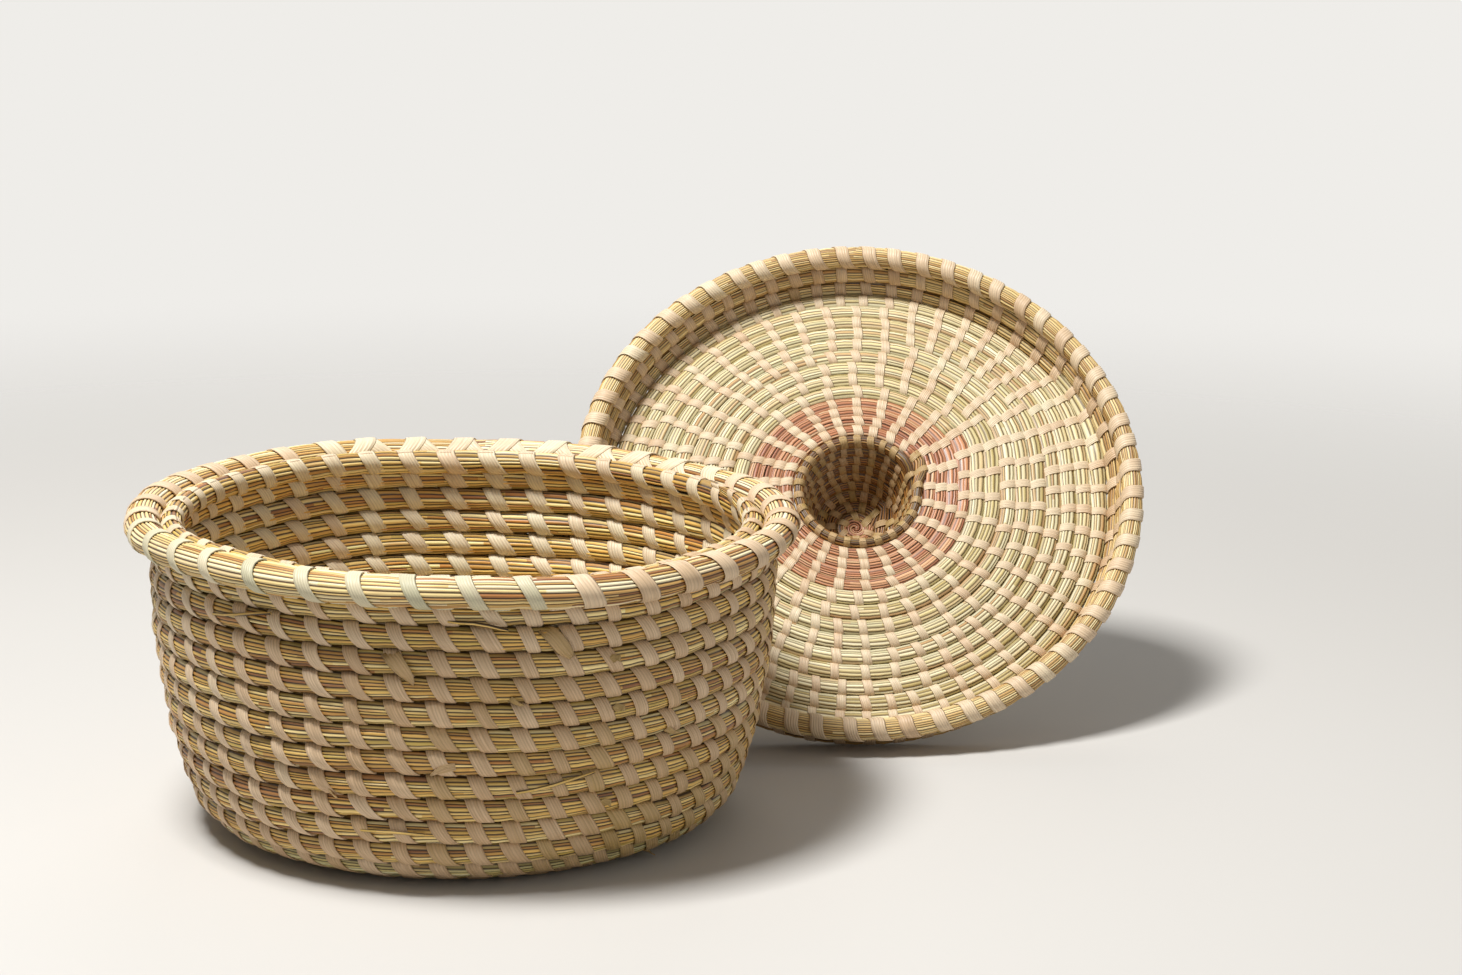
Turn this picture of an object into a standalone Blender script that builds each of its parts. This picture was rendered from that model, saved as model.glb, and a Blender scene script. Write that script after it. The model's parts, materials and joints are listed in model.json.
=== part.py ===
"""A lidded basket coiled from bundles of sweetgrass, with its lid taken off and leaning behind it.

Metres, +Z up. The origin is the middle of the basket's underside and +Y points away from the
viewer. Each coil is one unbroken bundle that runs level and steps to the next row in one short
stretch of each turn. Palmetto strips are wound round both rims.
"""

import math

import bmesh
import bpy
import numpy as np
from mathutils import Matrix, Vector

# Bundles of the basket
BASKET_BUNDLE = 0.00333  # radius of the bundle in base and wall
BASKET_RIM_BUNDLE = 0.0044
ROW_GAP = 0.00065  # left between one row and the next
BASKET_KNOT = 0.0046  # radius of the knot that the base starts from
WALL_ROWS = 13  # above those that fill the flat of the base; the lowest is the base edge

# Outline of the basket, through the middle of its bundles
BASE_FLAT_RADIUS = 0.0626
CORNER_RADIUS = 0.018
CORNER_ANGLE = math.radians(72)
WALL_BOW_RADIUS = 0.1915
TOP_ROW_INSET = 0.003  # the top row is drawn in, beside the rim
RIM_DROP = 0.0022  # the rim lies this much lower at +X and higher at -X

# Bundles of the lid
KNOB_BUNDLE = 0.0018
PINE_BUNDLE = 0.00162
DISC_BUNDLE = 0.00228
FLANGE_BUNDLE = 0.0029
LID_RIM_BUNDLE = 0.0036
LID_KNOT = 0.0022
MOUTH_GAP = 0.0008  # between the mouth of the knob and the first row round it
LID_ROW_GAP = 0.00055
KNOB_ROWS = 9
PINE_ROWS = 4
DISC_ROWS = 9
FLANGE_ROWS = 2

# Outline of the lid
KNOB_END_RADIUS = 0.007
KNOB_CORNER_RADIUS = 0.009
KNOB_WALL_ANGLE = math.radians(78)
HOLE_DEPTH = 0.0055  # from the opening to the mouth of the knob
FLANGE_ANGLE = math.radians(72)

# Palmetto strips round the rims
STRIP_THICKNESS = 0.0005
STRIP_CLEARANCE = 0.0003
BASKET_STRIP_WIDTH = 0.0056
LID_STRIP_WIDTH = 0.0046
BASKET_STRIP_TURNS = 38
LID_STRIP_TURNS = 60

# Clearances between pieces
TOUCH_GAP = 0.0003
BUTT_GAP = 0.0005  # between the two ends of a bundle, or where one follows another

# Where the lid leans, and where it closes
LID_LEAN = math.radians(42.8)  # how far its opening faces up
LID_BEARING = math.radians(43.6)  # seen from above, from +X towards +Y
CREST_CLEARANCE = 0.0026  # left over the rim as the lid comes down

# How finely the bundles are drawn
LOOP_POINTS = 20
SMALL_LOOP_POINTS = 10
RIM_POINTS = 40
SMALL_LOOP_SHARE = 1 / 2  # of the base's flat radius; a loop smaller than this is drawn coarser
SAMPLES = 120
STEP_SHARE = 0.1  # of a turn, spent on the step to the next row
EVEN_STEP_SHARE = 1 / 2  # of the step, done halfway along it
LATE_STEP_SHARE = 1 / 4
EARLY_STEP_SHARE = 3 / 4
TAIL_SHARES = (1 / 2, 3 / 4)  # of the step below it, where the final row's tail has a section
STEP_AZIMUTH = math.radians(36)  # where each turn starts, just past its step
RIM_AZIMUTH = math.radians(90)  # where the ends of a rim meet, at the back
KNOT_STEPS = 4
BUNDLE_EDGE = math.radians(80)  # a sharper bend than this is drawn as an edge
STRIP_EDGE = math.radians(50)

# Looks
STRAW = (0.56, 0.40, 0.17)
PALE_STRAW = (0.62, 0.52, 0.31)
PINE_BROWN = (0.30, 0.13, 0.065)
PALMETTO = (0.72, 0.58, 0.42)
GRASS_ROUGHNESS = 0.7
LEAF_ROUGHNESS = 0.5


def unit_section(sides, start):
    """Corners of a regular section that reaches 1 to either side, the first one at start."""
    corners = [start + math.tau * k / sides for k in range(sides)]
    reach = max(math.cos(corner) for corner in corners)
    return [(math.cos(corner) / reach, math.sin(corner) / reach) for corner in corners]


RIM_SECTION = unit_section(6, 0.0)
ROW_SECTION = unit_section(5, math.pi / 2)  # flat below, with a corner on the side facing in
FLAT_SHARE = -min(up for _, up in ROW_SECTION)  # of a bundle, down to its flat side


def clear_scene():
    for old in list(bpy.data.objects):
        bpy.data.objects.remove(old, do_unlink=True)


def dried_plant(name, colour, roughness=GRASS_ROUGHNESS):
    material = bpy.data.materials.new(name)
    material.use_nodes = True
    shader = material.node_tree.nodes["Principled BSDF"]
    shader.inputs["Base Color"].default_value = (*colour, 1)
    shader.inputs["Roughness"].default_value = roughness
    shader.inputs["Metallic"].default_value = 0
    return material


# A row is (radius, height, bundle, slope): slope is the direction in which the next row lies


def arc_outline(flat, corner, angle, bow):
    """A flat, a corner arc and a wall of radius bow, or straight if bow is None, by length."""
    corner_length = corner * angle

    def place(length):
        if length <= flat:
            return length, 0.0, 0.0
        if length <= flat + corner_length:
            turn = (length - flat) / corner
            return flat + corner * math.sin(turn), corner * (1 - math.cos(turn)), turn
        radius = flat + corner * math.sin(angle)
        height = corner * (1 - math.cos(angle))
        rest = length - flat - corner_length
        if bow is None:
            return radius + rest * math.cos(angle), height + rest * math.sin(angle), angle
        turn = angle + rest / bow
        radius += bow * (math.sin(turn) - math.sin(angle))
        height += bow * (math.cos(angle) - math.cos(turn))
        return radius, height, turn

    return place


def basket_rows():
    """The rows of the basket from the knot out and up, and how many fill the flat of its base.

    The last one is the top row.
    """
    outline = arc_outline(BASE_FLAT_RADIUS, CORNER_RADIUS, CORNER_ANGLE, WALL_BOW_RADIUS)
    pitch = 2 * BASKET_BUNDLE + ROW_GAP
    first = BASKET_KNOT + ROW_GAP + BASKET_BUNDLE
    stand = BASKET_BUNDLE * FLAT_SHARE
    flat_rows = 1 + math.floor((BASE_FLAT_RADIUS - first) / pitch)
    rows = []
    for k in range(flat_rows + WALL_ROWS):
        radius, height, slope = outline(first + k * pitch)
        rows.append((radius, height + stand, BASKET_BUNDLE, slope))
    radius, height = rows[-1][:2]
    climb = math.sqrt(pitch**2 - TOP_ROW_INSET**2)
    slope = math.atan2(climb, -TOP_ROW_INSET)
    rows.append((radius - TOP_ROW_INSET, height + climb, BASKET_BUNDLE, slope))
    return rows, flat_rows


def wound_radius(bundle):
    """Outside of the strip round a rim."""
    return bundle + STRIP_CLEARANCE + STRIP_THICKNESS


def basket_rim_row(rows):
    radius, height, bundle, _ = rows[-1]
    out = radius + bundle + TOUCH_GAP + wound_radius(BASKET_RIM_BUNDLE)
    return out, height, BASKET_RIM_BUNDLE, 0.0


def lid_rows():
    """The rows of the lid from the knob's end out, with the opening up and the rim at height 0."""
    flange_pitch = 2 * FLANGE_BUNDLE + LID_ROW_GAP
    rim_pitch = FLANGE_BUNDLE + TOUCH_GAP + wound_radius(LID_RIM_BUNDLE)
    edge_depth = ((FLANGE_ROWS - 1) * flange_pitch + rim_pitch) * math.sin(FLANGE_ANGLE)

    outline = arc_outline(KNOB_END_RADIUS, KNOB_CORNER_RADIUS, KNOB_WALL_ANGLE, None)
    first = LID_KNOT + LID_ROW_GAP + KNOB_BUNDLE
    places = [outline(first + k * (2 * KNOB_BUNDLE + LID_ROW_GAP)) for k in range(KNOB_ROWS)]
    drop = HOLE_DEPTH + places[-1][1]
    rows = [(radius, height - drop, KNOB_BUNDLE, slope) for radius, height, slope in places]

    hole = rows[-1][0]
    bundles = [PINE_BUNDLE] * PINE_ROWS + [DISC_BUNDLE] * DISC_ROWS
    radii = [hole]
    last = KNOB_BUNDLE + MOUTH_GAP - LID_ROW_GAP
    for bundle in bundles + [FLANGE_BUNDLE]:
        radii.append(radii[-1] + last + bundle + LID_ROW_GAP)
        last = bundle
    edge = radii.pop()
    dish = edge_depth - HOLE_DEPTH
    for radius, bundle in zip(radii[1:], bundles):
        share = (radius**2 - hole**2) / (radii[-1] ** 2 - hole**2)
        slope = -math.atan(2 * dish * radius / (radii[-1] ** 2 - hole**2))
        rows.append((radius, -HOLE_DEPTH - dish * share, bundle, slope))

    for k in range(FLANGE_ROWS):
        along = k * flange_pitch
        radius = edge + along * math.cos(FLANGE_ANGLE)
        height = along * math.sin(FLANGE_ANGLE) - edge_depth
        rows.append((radius, height, FLANGE_BUNDLE, FLANGE_ANGLE))
    return rows


def lid_rim_row(rows):
    radius, _, bundle, _ = rows[-1]
    pitch = bundle + TOUCH_GAP + wound_radius(LID_RIM_BUNDLE)
    return radius + pitch * math.cos(FLANGE_ANGLE), 0.0, LID_RIM_BUNDLE, 0.0


# A station is (turn, radius, height, bundle, slope): one section of a bundle


def loop_points(row):
    small = row[0] < BASE_FLAT_RADIUS * SMALL_LOOP_SHARE
    return SMALL_LOOP_POINTS if small else LOOP_POINTS


def coil_stations(rows, first, last, half_shares):
    """The turns from row first up to row last: level, then a step to the row after it.

    Halfway through its step a turn has gone its half share of the way: where the rows bend
    sharply, the outer turns step early and the inner ones late, and so they stay apart. The
    final row has none after it, so its bundle thins out above the step of the row below.
    """
    stations = []
    for k in range(first, last):
        count = loop_points(rows[k])
        level = round(count * (1 - STEP_SHARE))
        stations += [(k + j / count, *rows[k]) for j in range(level + 1)]
        if k + 1 < len(rows):
            half = [a + (b - a) * half_shares[k] for a, b in zip(rows[k], rows[k + 1])]
            stations.append((k + 1 - STEP_SHARE / 2, *half))
    if last < len(rows):
        stations.append((last - BUTT_GAP / (math.tau * rows[last][0]), *rows[last]))
    else:
        stations += tail_stations(rows, half_shares[-1])
    return stations


def tail_stations(rows, half_share):
    """The end of the final row, thinned and lifted to leave room for the step below it."""
    (below_radius, below_height, *_), (radius, height, bundle, slope) = rows[-2:]
    climb = Vector((radius - below_radius, height - below_height))
    stations = []
    for along in TAIL_SHARES:
        share = half_share + (1 - half_share) * (2 * along - 1)
        thin = bundle - climb.length * share / 2
        lift = climb.normalized() * (bundle - thin)
        turn = len(rows) - STEP_SHARE * (1 - along)
        if thin > 0:
            stations.append((turn, radius + lift.x, height + lift.y, thin, slope))
    return stations


def rim_stations(row):
    """One loop whose two ends meet at the back."""
    stations = [(j / RIM_POINTS, *row) for j in range(RIM_POINTS)]
    stations.append((1 - BUTT_GAP / (math.tau * row[0]), *row))
    return stations


def least_gap(stations):
    """The least space between a bundle and itself, at points one or more turns apart or at its ends."""
    turn, radius, height, bundle, _ = np.array(stations).T
    found = [math.inf]
    for lap in range(1, math.floor(turn[-1] - turn[0]) + 1):
        near = turn <= turn[-1] - lap
        later = [np.interp(turn[near] + lap, turn, values) for values in (radius, height, bundle)]
        apart = np.hypot(later[0] - radius[near], later[1] - height[near])
        found.append((apart - later[2] - bundle[near]).min())
    if len(found) == 1:
        found.append((1 - turn[-1] + turn[0]) * math.tau * radius[0])
    return min(found)


def section(station, corners, azimuth, swell=0.0):
    """The corners of a bundle at one station, in the upright plane through the axis."""
    turn, radius, height, bundle, slope = station
    around = azimuth + math.tau * turn
    lean = Matrix.Rotation(slope, 2)
    ring = []
    for corner in corners:
        out, up = lean @ Vector(corner) * (bundle + swell)
        out += radius
        ring.append(Vector((out * math.cos(around), out * math.sin(around), height + up)))
    return ring


def sweep(rings):
    """A closed bmesh through rings of as many corners, the first ring facing back."""
    mesh = bmesh.new()
    loops = [[mesh.verts.new(point) for point in ring] for ring in rings]
    for near, far in zip(loops, loops[1:]):
        for k in range(len(near)):
            m = (k + 1) % len(near)
            mesh.faces.new((near[k], near[m], far[m], far[k]))
    mesh.faces.new(reversed(loops[0]))
    mesh.faces.new(loops[-1])
    bmesh.ops.recalc_face_normals(mesh, faces=mesh.faces)
    return mesh


def wound_coil(name, stations, corners, azimuth):
    turns = stations[-1][0] - stations[0][0]
    print(f"{name}: {turns:.2f} turns, least gap to itself {1000 * least_gap(stations):.2f} mm")
    return sweep([section(station, corners, azimuth) for station in stations])


def wound_strip(stations, azimuth, turns, width):
    """A flat strip wound round a rim, folded over each edge of its section.

    Seen from outside it runs down to the right, the way that the maker's stitches slant.
    """
    rim_length = math.tau * stations[0][1]
    inner = [section(s, RIM_SECTION, azimuth, STRIP_CLEARANCE) for s in stations]
    outer = [section(s, RIM_SECTION, azimuth, STRIP_CLEARANCE + STRIP_THICKNESS) for s in stations]

    def on(rings, length, corner):
        turn = length / rim_length
        k = min(int(turn * RIM_POINTS), RIM_POINTS - 1)
        near, far = stations[k][0], stations[k + 1][0]
        return rings[k][corner].lerp(rings[k + 1][corner], (turn - near) / (far - near))

    sides = len(RIM_SECTION)
    reach = rim_length - BUTT_GAP - 2 * width
    rings = []
    for k in range(turns * sides + 1):
        middle = width + reach * k / (turns * sides)
        corner = -k % sides
        low, high = middle - width / 2, middle + width / 2
        rings.append(
            [
                on(inner, low, corner),
                on(outer, low, corner),
                on(outer, high, corner),
                on(inner, high, corner),
            ]
        )
    return sweep(rings)


def knot(radius, height, lean):
    """A pressed knot of grass: a turned button, flat below, its belly leaning out by lean."""
    quarter = [math.pi / 2 * k / KNOT_STEPS for k in range(KNOT_STEPS)]
    profile = [(0.0, 0.0), (radius - lean, 0.0)]
    profile += [(radius * math.cos(a), height / 2 * (1 + math.sin(a))) for a in quarter]
    profile.append((0.0, height))
    mesh = bmesh.new()
    verts = [mesh.verts.new((r, 0.0, z)) for r, z in profile]
    edges = [mesh.edges.new(pair) for pair in zip(verts, verts[1:])]
    bmesh.ops.spin(
        mesh,
        geom=verts + edges,
        cent=(0, 0, 0),
        axis=(0, 0, 1),
        angle=math.tau,
        steps=LOOP_POINTS,
        use_merge=True,
        use_duplicate=False,
    )
    bmesh.ops.remove_doubles(mesh, verts=mesh.verts, dist=STRIP_THICKNESS / LOOP_POINTS)
    bmesh.ops.recalc_face_normals(mesh, faces=mesh.faces)
    return mesh


def add_piece(name, mesh, material, sharp):
    data = bpy.data.meshes.new(name)
    mesh.to_mesh(data)
    mesh.free()
    data.shade_smooth()
    data.set_sharp_from_angle(angle=sharp)
    data.materials.append(material)
    piece = bpy.data.objects.new(name, data)
    bpy.context.scene.collection.objects.link(piece)
    return piece


def settle(piece, rim):
    """Leans the rows a little towards +X, more the higher they lie, as the hand-made rim does."""
    radius, height = rim[:2]
    for vertex in piece.data.vertices:
        vertex.co.z -= RIM_DROP * vertex.co.x / radius * vertex.co.z / height


def build_basket():
    rows, flat_rows = basket_rows()
    rim = basket_rim_row(rows)
    half_shares = [EVEN_STEP_SHARE] * len(rows)
    base = coil_stations(rows, 0, flat_rows, half_shares)
    wall = coil_stations(rows, flat_rows, len(rows), half_shares)
    loop = rim_stations(rim)
    knot_height = 2 * BASKET_BUNDLE * FLAT_SHARE
    pieces = [
        add_piece(
            "base_start_knot",
            knot(BASKET_KNOT, knot_height, ROW_GAP),
            dried_plant("sweetgrass_knot", STRAW),
            BUNDLE_EDGE,
        ),
        add_piece(
            "base_coil",
            wound_coil("base_coil", base, ROW_SECTION, STEP_AZIMUTH),
            dried_plant("sweetgrass_base", PALE_STRAW),
            BUNDLE_EDGE,
        ),
        add_piece(
            "wall_coil",
            wound_coil("wall_coil", wall, ROW_SECTION, STEP_AZIMUTH),
            dried_plant("sweetgrass_wall", STRAW),
            BUNDLE_EDGE,
        ),
        add_piece(
            "basket_rim_coil",
            wound_coil("basket_rim_coil", loop, RIM_SECTION, RIM_AZIMUTH),
            dried_plant("sweetgrass_rim", STRAW),
            BUNDLE_EDGE,
        ),
        add_piece(
            "basket_rim_binding",
            wound_strip(loop, RIM_AZIMUTH, BASKET_STRIP_TURNS, BASKET_STRIP_WIDTH),
            dried_plant("palmetto_rim", PALMETTO, LEAF_ROUGHNESS),
            STRIP_EDGE,
        ),
    ]
    for piece in pieces:
        settle(piece, rim)
    return rows, rim


def build_lid():
    """The lid in its own frame: opening up, middle of the rim at the origin."""
    rows = lid_rows()
    rim = lid_rim_row(rows)
    loop = rim_stations(rim)
    pine = KNOB_ROWS
    disc = pine + PINE_ROWS
    edge = disc + DISC_ROWS
    knot_height = 2 * KNOB_BUNDLE
    top = add_piece(
        "knob_start_knot",
        knot(LID_KNOT, knot_height, LID_ROW_GAP),
        dried_plant("pine_needle_knot", PINE_BROWN),
        BUNDLE_EDGE,
    )
    top.data.transform(Matrix.Translation((0, 0, rows[0][1] - KNOB_BUNDLE)))
    coils = (
        ("knob_coil", 0, pine, STRAW),
        ("pine_needle_coil", pine, disc, PINE_BROWN),
        ("lid_disc_coil", disc, edge, PALE_STRAW),
        ("lid_flange_coil", edge, len(rows), STRAW),
    )
    half_shares = [LATE_STEP_SHARE] * (KNOB_ROWS - 1)
    half_shares += [EVEN_STEP_SHARE] * (edge - len(half_shares))
    half_shares += [EARLY_STEP_SHARE] * FLANGE_ROWS
    pieces = [top]
    for name, first, last, colour in coils:
        stations = coil_stations(rows, first, last, half_shares)
        mesh = wound_coil(name, stations, ROW_SECTION, STEP_AZIMUTH)
        pieces.append(add_piece(name, mesh, dried_plant(name + "_bundle", colour), BUNDLE_EDGE))
    mesh = wound_coil("lid_rim_coil", loop, RIM_SECTION, RIM_AZIMUTH)
    grass = dried_plant("lid_rim_bundle", STRAW)
    pieces.append(add_piece("lid_rim_coil", mesh, grass, BUNDLE_EDGE))
    mesh = wound_strip(loop, RIM_AZIMUTH, LID_STRIP_TURNS, LID_STRIP_WIDTH)
    leaf = dried_plant("palmetto_lid_rim", PALMETTO, LEAF_ROUGHNESS)
    pieces.append(add_piece("lid_rim_binding", mesh, leaf, STRIP_EDGE))
    return pieces, rows, rim


def circles(rows):
    """Points round each row, with the radius of its bundle."""
    around = np.linspace(0, math.tau, SAMPLES, endpoint=False)
    points, bundles = [], []
    for radius, height, bundle, _ in rows:
        flat = np.full(SAMPLES, height)
        points.append(np.stack([radius * np.cos(around), radius * np.sin(around), flat], 1))
        bundles.append(np.full(SAMPLES, bundle))
    return np.concatenate(points), np.concatenate(bundles)


def lid_stand(pieces, basket, lid):
    """Where the leaning lid's middle is: on the ground, its rim against the basket's wall.

    The gap is measured between round bundles, so the flat-sided ones stay a little further apart.
    """
    turn = Matrix.Rotation(math.pi / 2 - LID_LEAN, 3, "X")
    lowest = min((turn @ v.co).z for piece in pieces for v in piece.data.vertices)
    basket_points, basket_bundles = circles(basket)
    lid_points, lid_bundles = circles(lid)
    lid_points = lid_points @ np.array(turn).T - [0, 0, lowest]
    bearing = np.array([math.cos(LID_BEARING), math.sin(LID_BEARING), 0])

    def gap(distance):
        apart = (lid_points + bearing * distance)[:, None] - basket_points[None]
        apart = np.linalg.norm(apart, axis=2) - lid_bundles[:, None] - basket_bundles[None]
        return apart.min()

    near, far = basket[-1][0], 2 * (basket[-1][0] + lid[-1][0])
    while far - near > STRIP_CLEARANCE / SAMPLES:
        middle = (near + far) / 2
        near, far = (near, middle) if gap(middle) > 0 else (middle, far)
    return turn, Vector(bearing * far) - Vector((0, 0, lowest))


def lid_hinge(turn, stand, rim, lid_rim):
    """The one axis about which the leaning lid turns over onto the rim, and the angle."""
    facing = turn @ Vector((0, 0, 1))
    level = Vector((RIM_DROP / rim[0], 0, 1)).normalized()
    closed = Vector((0, 0, rim[1]))
    closed += level * (wound_radius(rim[2]) + wound_radius(lid_rim[2]) + CREST_CLEARANCE)
    axis = (facing + level).cross(closed - stand).normalized()
    before = facing - axis * facing.dot(axis)
    after = -level + axis * level.dot(axis)
    angle = math.atan2(before.cross(after).dot(axis), before.dot(after))
    if angle < 0:
        axis, angle = -axis, -angle
    half = (closed - stand) / 2
    pivot = stand + half + axis.cross(half) / math.tan(angle / 2)
    return axis, angle, pivot, closed


def hang_lid(pieces, turn, stand, axis, pivot):
    hinge = bpy.data.objects.new("lid_turning_axis", None)
    bpy.context.scene.collection.objects.link(hinge)
    hinge.empty_display_size = wound_radius(LID_RIM_BUNDLE)
    place = Matrix.Translation(pivot) @ axis.to_track_quat("Z", "X").to_matrix().to_4x4()
    hinge.matrix_world = place
    for piece in pieces:
        piece.parent = hinge
        piece.matrix_parent_inverse = place.inverted()
        piece.matrix_basis = Matrix.Translation(stand) @ turn.to_4x4()


def rounded(vector):
    return [round(value, 5) for value in vector]


def main():
    clear_scene()
    basket, rim = build_basket()
    pieces, lid, lid_rim = build_lid()
    wound_rim = (*rim[:2], wound_radius(rim[2]), 0.0)
    wound_lid_rim = (*lid_rim[:2], wound_radius(lid_rim[2]), 0.0)
    turn, stand = lid_stand(pieces, basket + [wound_rim], lid + [wound_lid_rim])
    axis, angle, pivot, closed = lid_hinge(turn, stand, rim, lid_rim)
    hang_lid(pieces, turn, stand, axis, pivot)
    print("rim of the basket", rounded(rim[:2]), "rim of the lid", rounded(lid_rim[:2]))
    print("lid leans at", rounded(stand), "and closes at", rounded(closed))
    print("axis", rounded(axis), "through", rounded(pivot), f"angle {math.degrees(angle):.3f} degrees")


main()
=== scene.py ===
import json
import math

import bpy
import numpy as np
from mathutils import Matrix, Vector

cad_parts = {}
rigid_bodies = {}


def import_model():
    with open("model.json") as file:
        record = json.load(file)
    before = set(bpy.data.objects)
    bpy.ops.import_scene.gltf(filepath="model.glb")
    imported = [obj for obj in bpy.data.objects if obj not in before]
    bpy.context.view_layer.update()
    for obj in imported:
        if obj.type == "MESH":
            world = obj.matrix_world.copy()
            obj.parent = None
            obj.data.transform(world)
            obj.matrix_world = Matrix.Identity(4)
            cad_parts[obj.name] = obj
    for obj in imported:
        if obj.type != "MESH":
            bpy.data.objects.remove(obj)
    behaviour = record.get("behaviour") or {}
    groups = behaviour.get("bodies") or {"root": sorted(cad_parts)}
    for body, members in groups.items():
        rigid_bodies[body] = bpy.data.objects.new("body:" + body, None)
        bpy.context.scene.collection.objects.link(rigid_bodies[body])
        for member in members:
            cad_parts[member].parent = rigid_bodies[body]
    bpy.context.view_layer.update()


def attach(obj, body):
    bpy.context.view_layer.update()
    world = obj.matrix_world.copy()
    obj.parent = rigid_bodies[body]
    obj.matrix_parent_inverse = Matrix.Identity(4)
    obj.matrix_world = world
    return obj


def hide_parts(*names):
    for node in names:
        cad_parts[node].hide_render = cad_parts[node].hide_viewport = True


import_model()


def linear(hexColour):  # sRGB hex to the linear colour that a shader takes
    parts = [int(hexColour[i : i + 2], 16) / 255 for i in (0, 2, 4)]
    return [p / 12.92 if p <= 0.04045 else ((p + 0.055) / 1.055) ** 2.4 for p in parts] + [1.0]


# adds a node, its inputs given in the order of its sockets or by their names or numbers; gives one
# of its outputs, or the node itself if out is None
def node(tree, kind, inputs=(), out=0, stops=(), **settings):
    made = tree.nodes.new(kind)
    for name, value in settings.items():
        setattr(made, name, value)
    for key, value in inputs.items() if isinstance(inputs, dict) else enumerate(inputs):
        if isinstance(value, bpy.types.NodeSocket):
            tree.links.new(value, made.inputs[key])
        else:
            made.inputs[key].default_value = value
    if stops:
        points = made.color_ramp.elements
        while len(points) < len(stops):
            points.new(0.5)
        for point, (place, colour) in zip(points, stops):
            point.position = place
            point.color = linear(colour)
    return made if out is None else made.outputs[out]


def meshFrom(name, points, edges=(), faces=()):
    mesh = bpy.data.meshes.new(name)
    mesh.from_pydata([tuple(p) for p in points], [tuple(e) for e in edges], [tuple(f) for f in faces])
    mesh.update()
    return mesh


def giveAttribute(mesh, name, kind, values):
    layer = mesh.attributes.new(name, kind, "POINT")
    wanted = np.int32 if kind == "INT" else np.float32
    key = "vector" if kind == "FLOAT_VECTOR" else "value"
    layer.data.foreach_set(key, np.ascontiguousarray(values, wanted).ravel())


def newObject(name, mesh):
    made = bpy.data.objects.new(name, mesh)
    bpy.context.scene.collection.objects.link(made)
    return made


# The rows of the basket and the lid, where the solids have them, in metres

basketCoils = {
    "bundle": 0.00333,  # radius of a bundle
    "rimBundle": 0.0044,
    "rowGap": 0.00065,  # left between the solids; the real rows press together
    "knot": 0.0046,  # radius of the knot in the middle
    "baseRows": 8,
    "wallRows": 13,  # and the top row above them
    "flatRadius": 0.0626,  # of the base, before it turns up into the wall
    "cornerRadius": 0.018,
    "cornerAngle": math.radians(72),
    "bowRadius": 0.1915,
    "topInset": 0.003,
    "topDrop": 0.0012,  # the top row has sunk beside the rim
    "rimDrop": 0.0022,  # the rim lies this much lower on the right
    "rimSpread": 0.0007,  # sewn tight, the rim bundle spreads inwards to the top row
    "stand": 0.851,  # of a bundle, from the ground to the middle of a base row
    "flat": 0.76,  # height of a pressed base row, as a share of its width
    "standing": math.radians(60),  # a row as steep as this is round
    "pressedTogether": 0.0006,
}

lidCoils = {
    "knobBundle": 0.0018,
    "pineBundle": 0.00162,
    "discBundle": 0.00228,
    "flangeBundle": 0.0029,
    "rimBundle": 0.0036,
    "knot": 0.0022,
    "mouthGap": 0.0008,
    "rowGap": 0.00055,
    "knobRows": 9,
    "pineRows": 4,
    "discRows": 9,
    "flangeRows": 2,
    "endRadius": 0.007,
    "cornerRadius": 0.009,
    "wallAngle": math.radians(78),
    "holeDepth": 0.0055,
    "flangeAngle": math.radians(72),
    "flangeShifts": (0.0004, 0.0010),  # pushed up against the rim
    "stand": (0.1214, 0.1156, 0.07533),
    "tip": math.radians(47.2),
    "pressedTogether": 0.00068,
}

strip = {"thickness": 0.0005, "clearance": 0.0003, "touch": 0.0003}
stepShare = 0.1  # of a turn
stepSwell = 1.3  # of the pressed width, which keeps the rows closed where they step
stepAzimuth = math.radians(36)
rimAzimuth = math.radians(90)  # where the ends of a rim meet
fewestPoints = 20  # in a turn


def arcOutline(flat, corner, angle, bow):  # radius, height and slope at a length along the outline
    cornerLength = corner * angle

    def place(length):
        if length <= flat:
            return length, 0.0, 0.0
        if length <= flat + cornerLength:
            turn = (length - flat) / corner
            return flat + corner * math.sin(turn), corner * (1 - math.cos(turn)), turn
        radius = flat + corner * math.sin(angle)
        height = corner * (1 - math.cos(angle))
        rest = length - flat - cornerLength
        if bow is None:
            return radius + rest * math.cos(angle), height + rest * math.sin(angle), angle
        turn = angle + rest / bow
        radius += bow * (math.sin(turn) - math.sin(angle))
        height += bow * (math.cos(angle) - math.cos(turn))
        return radius, height, turn

    return place


def basketRows():  # each row is (radius, height, half the bundle, slope towards the next row)
    s = basketCoils
    outline = arcOutline(s["flatRadius"], s["cornerRadius"], s["cornerAngle"], s["bowRadius"])
    pitch = 2 * s["bundle"] + s["rowGap"]
    first = s["knot"] + s["rowGap"] + s["bundle"]
    rows = []
    for k in range(s["baseRows"] + s["wallRows"]):
        radius, height, slope = outline(first + k * pitch)
        rows.append((radius, height + s["bundle"] * s["stand"], s["bundle"], slope))
    radius, height = rows[-1][:2]
    climb = math.sqrt(pitch**2 - s["topInset"] ** 2)
    slope = math.atan2(climb, -s["topInset"])
    rows.append((radius - s["topInset"], height + climb - s["topDrop"], s["bundle"], slope))
    wound = s["rimBundle"] + strip["clearance"] + strip["thickness"]
    out = rows[-1][0] + s["bundle"] + strip["touch"] + wound
    return rows, (out, height + climb, s["rimBundle"], math.pi / 2)


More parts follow.
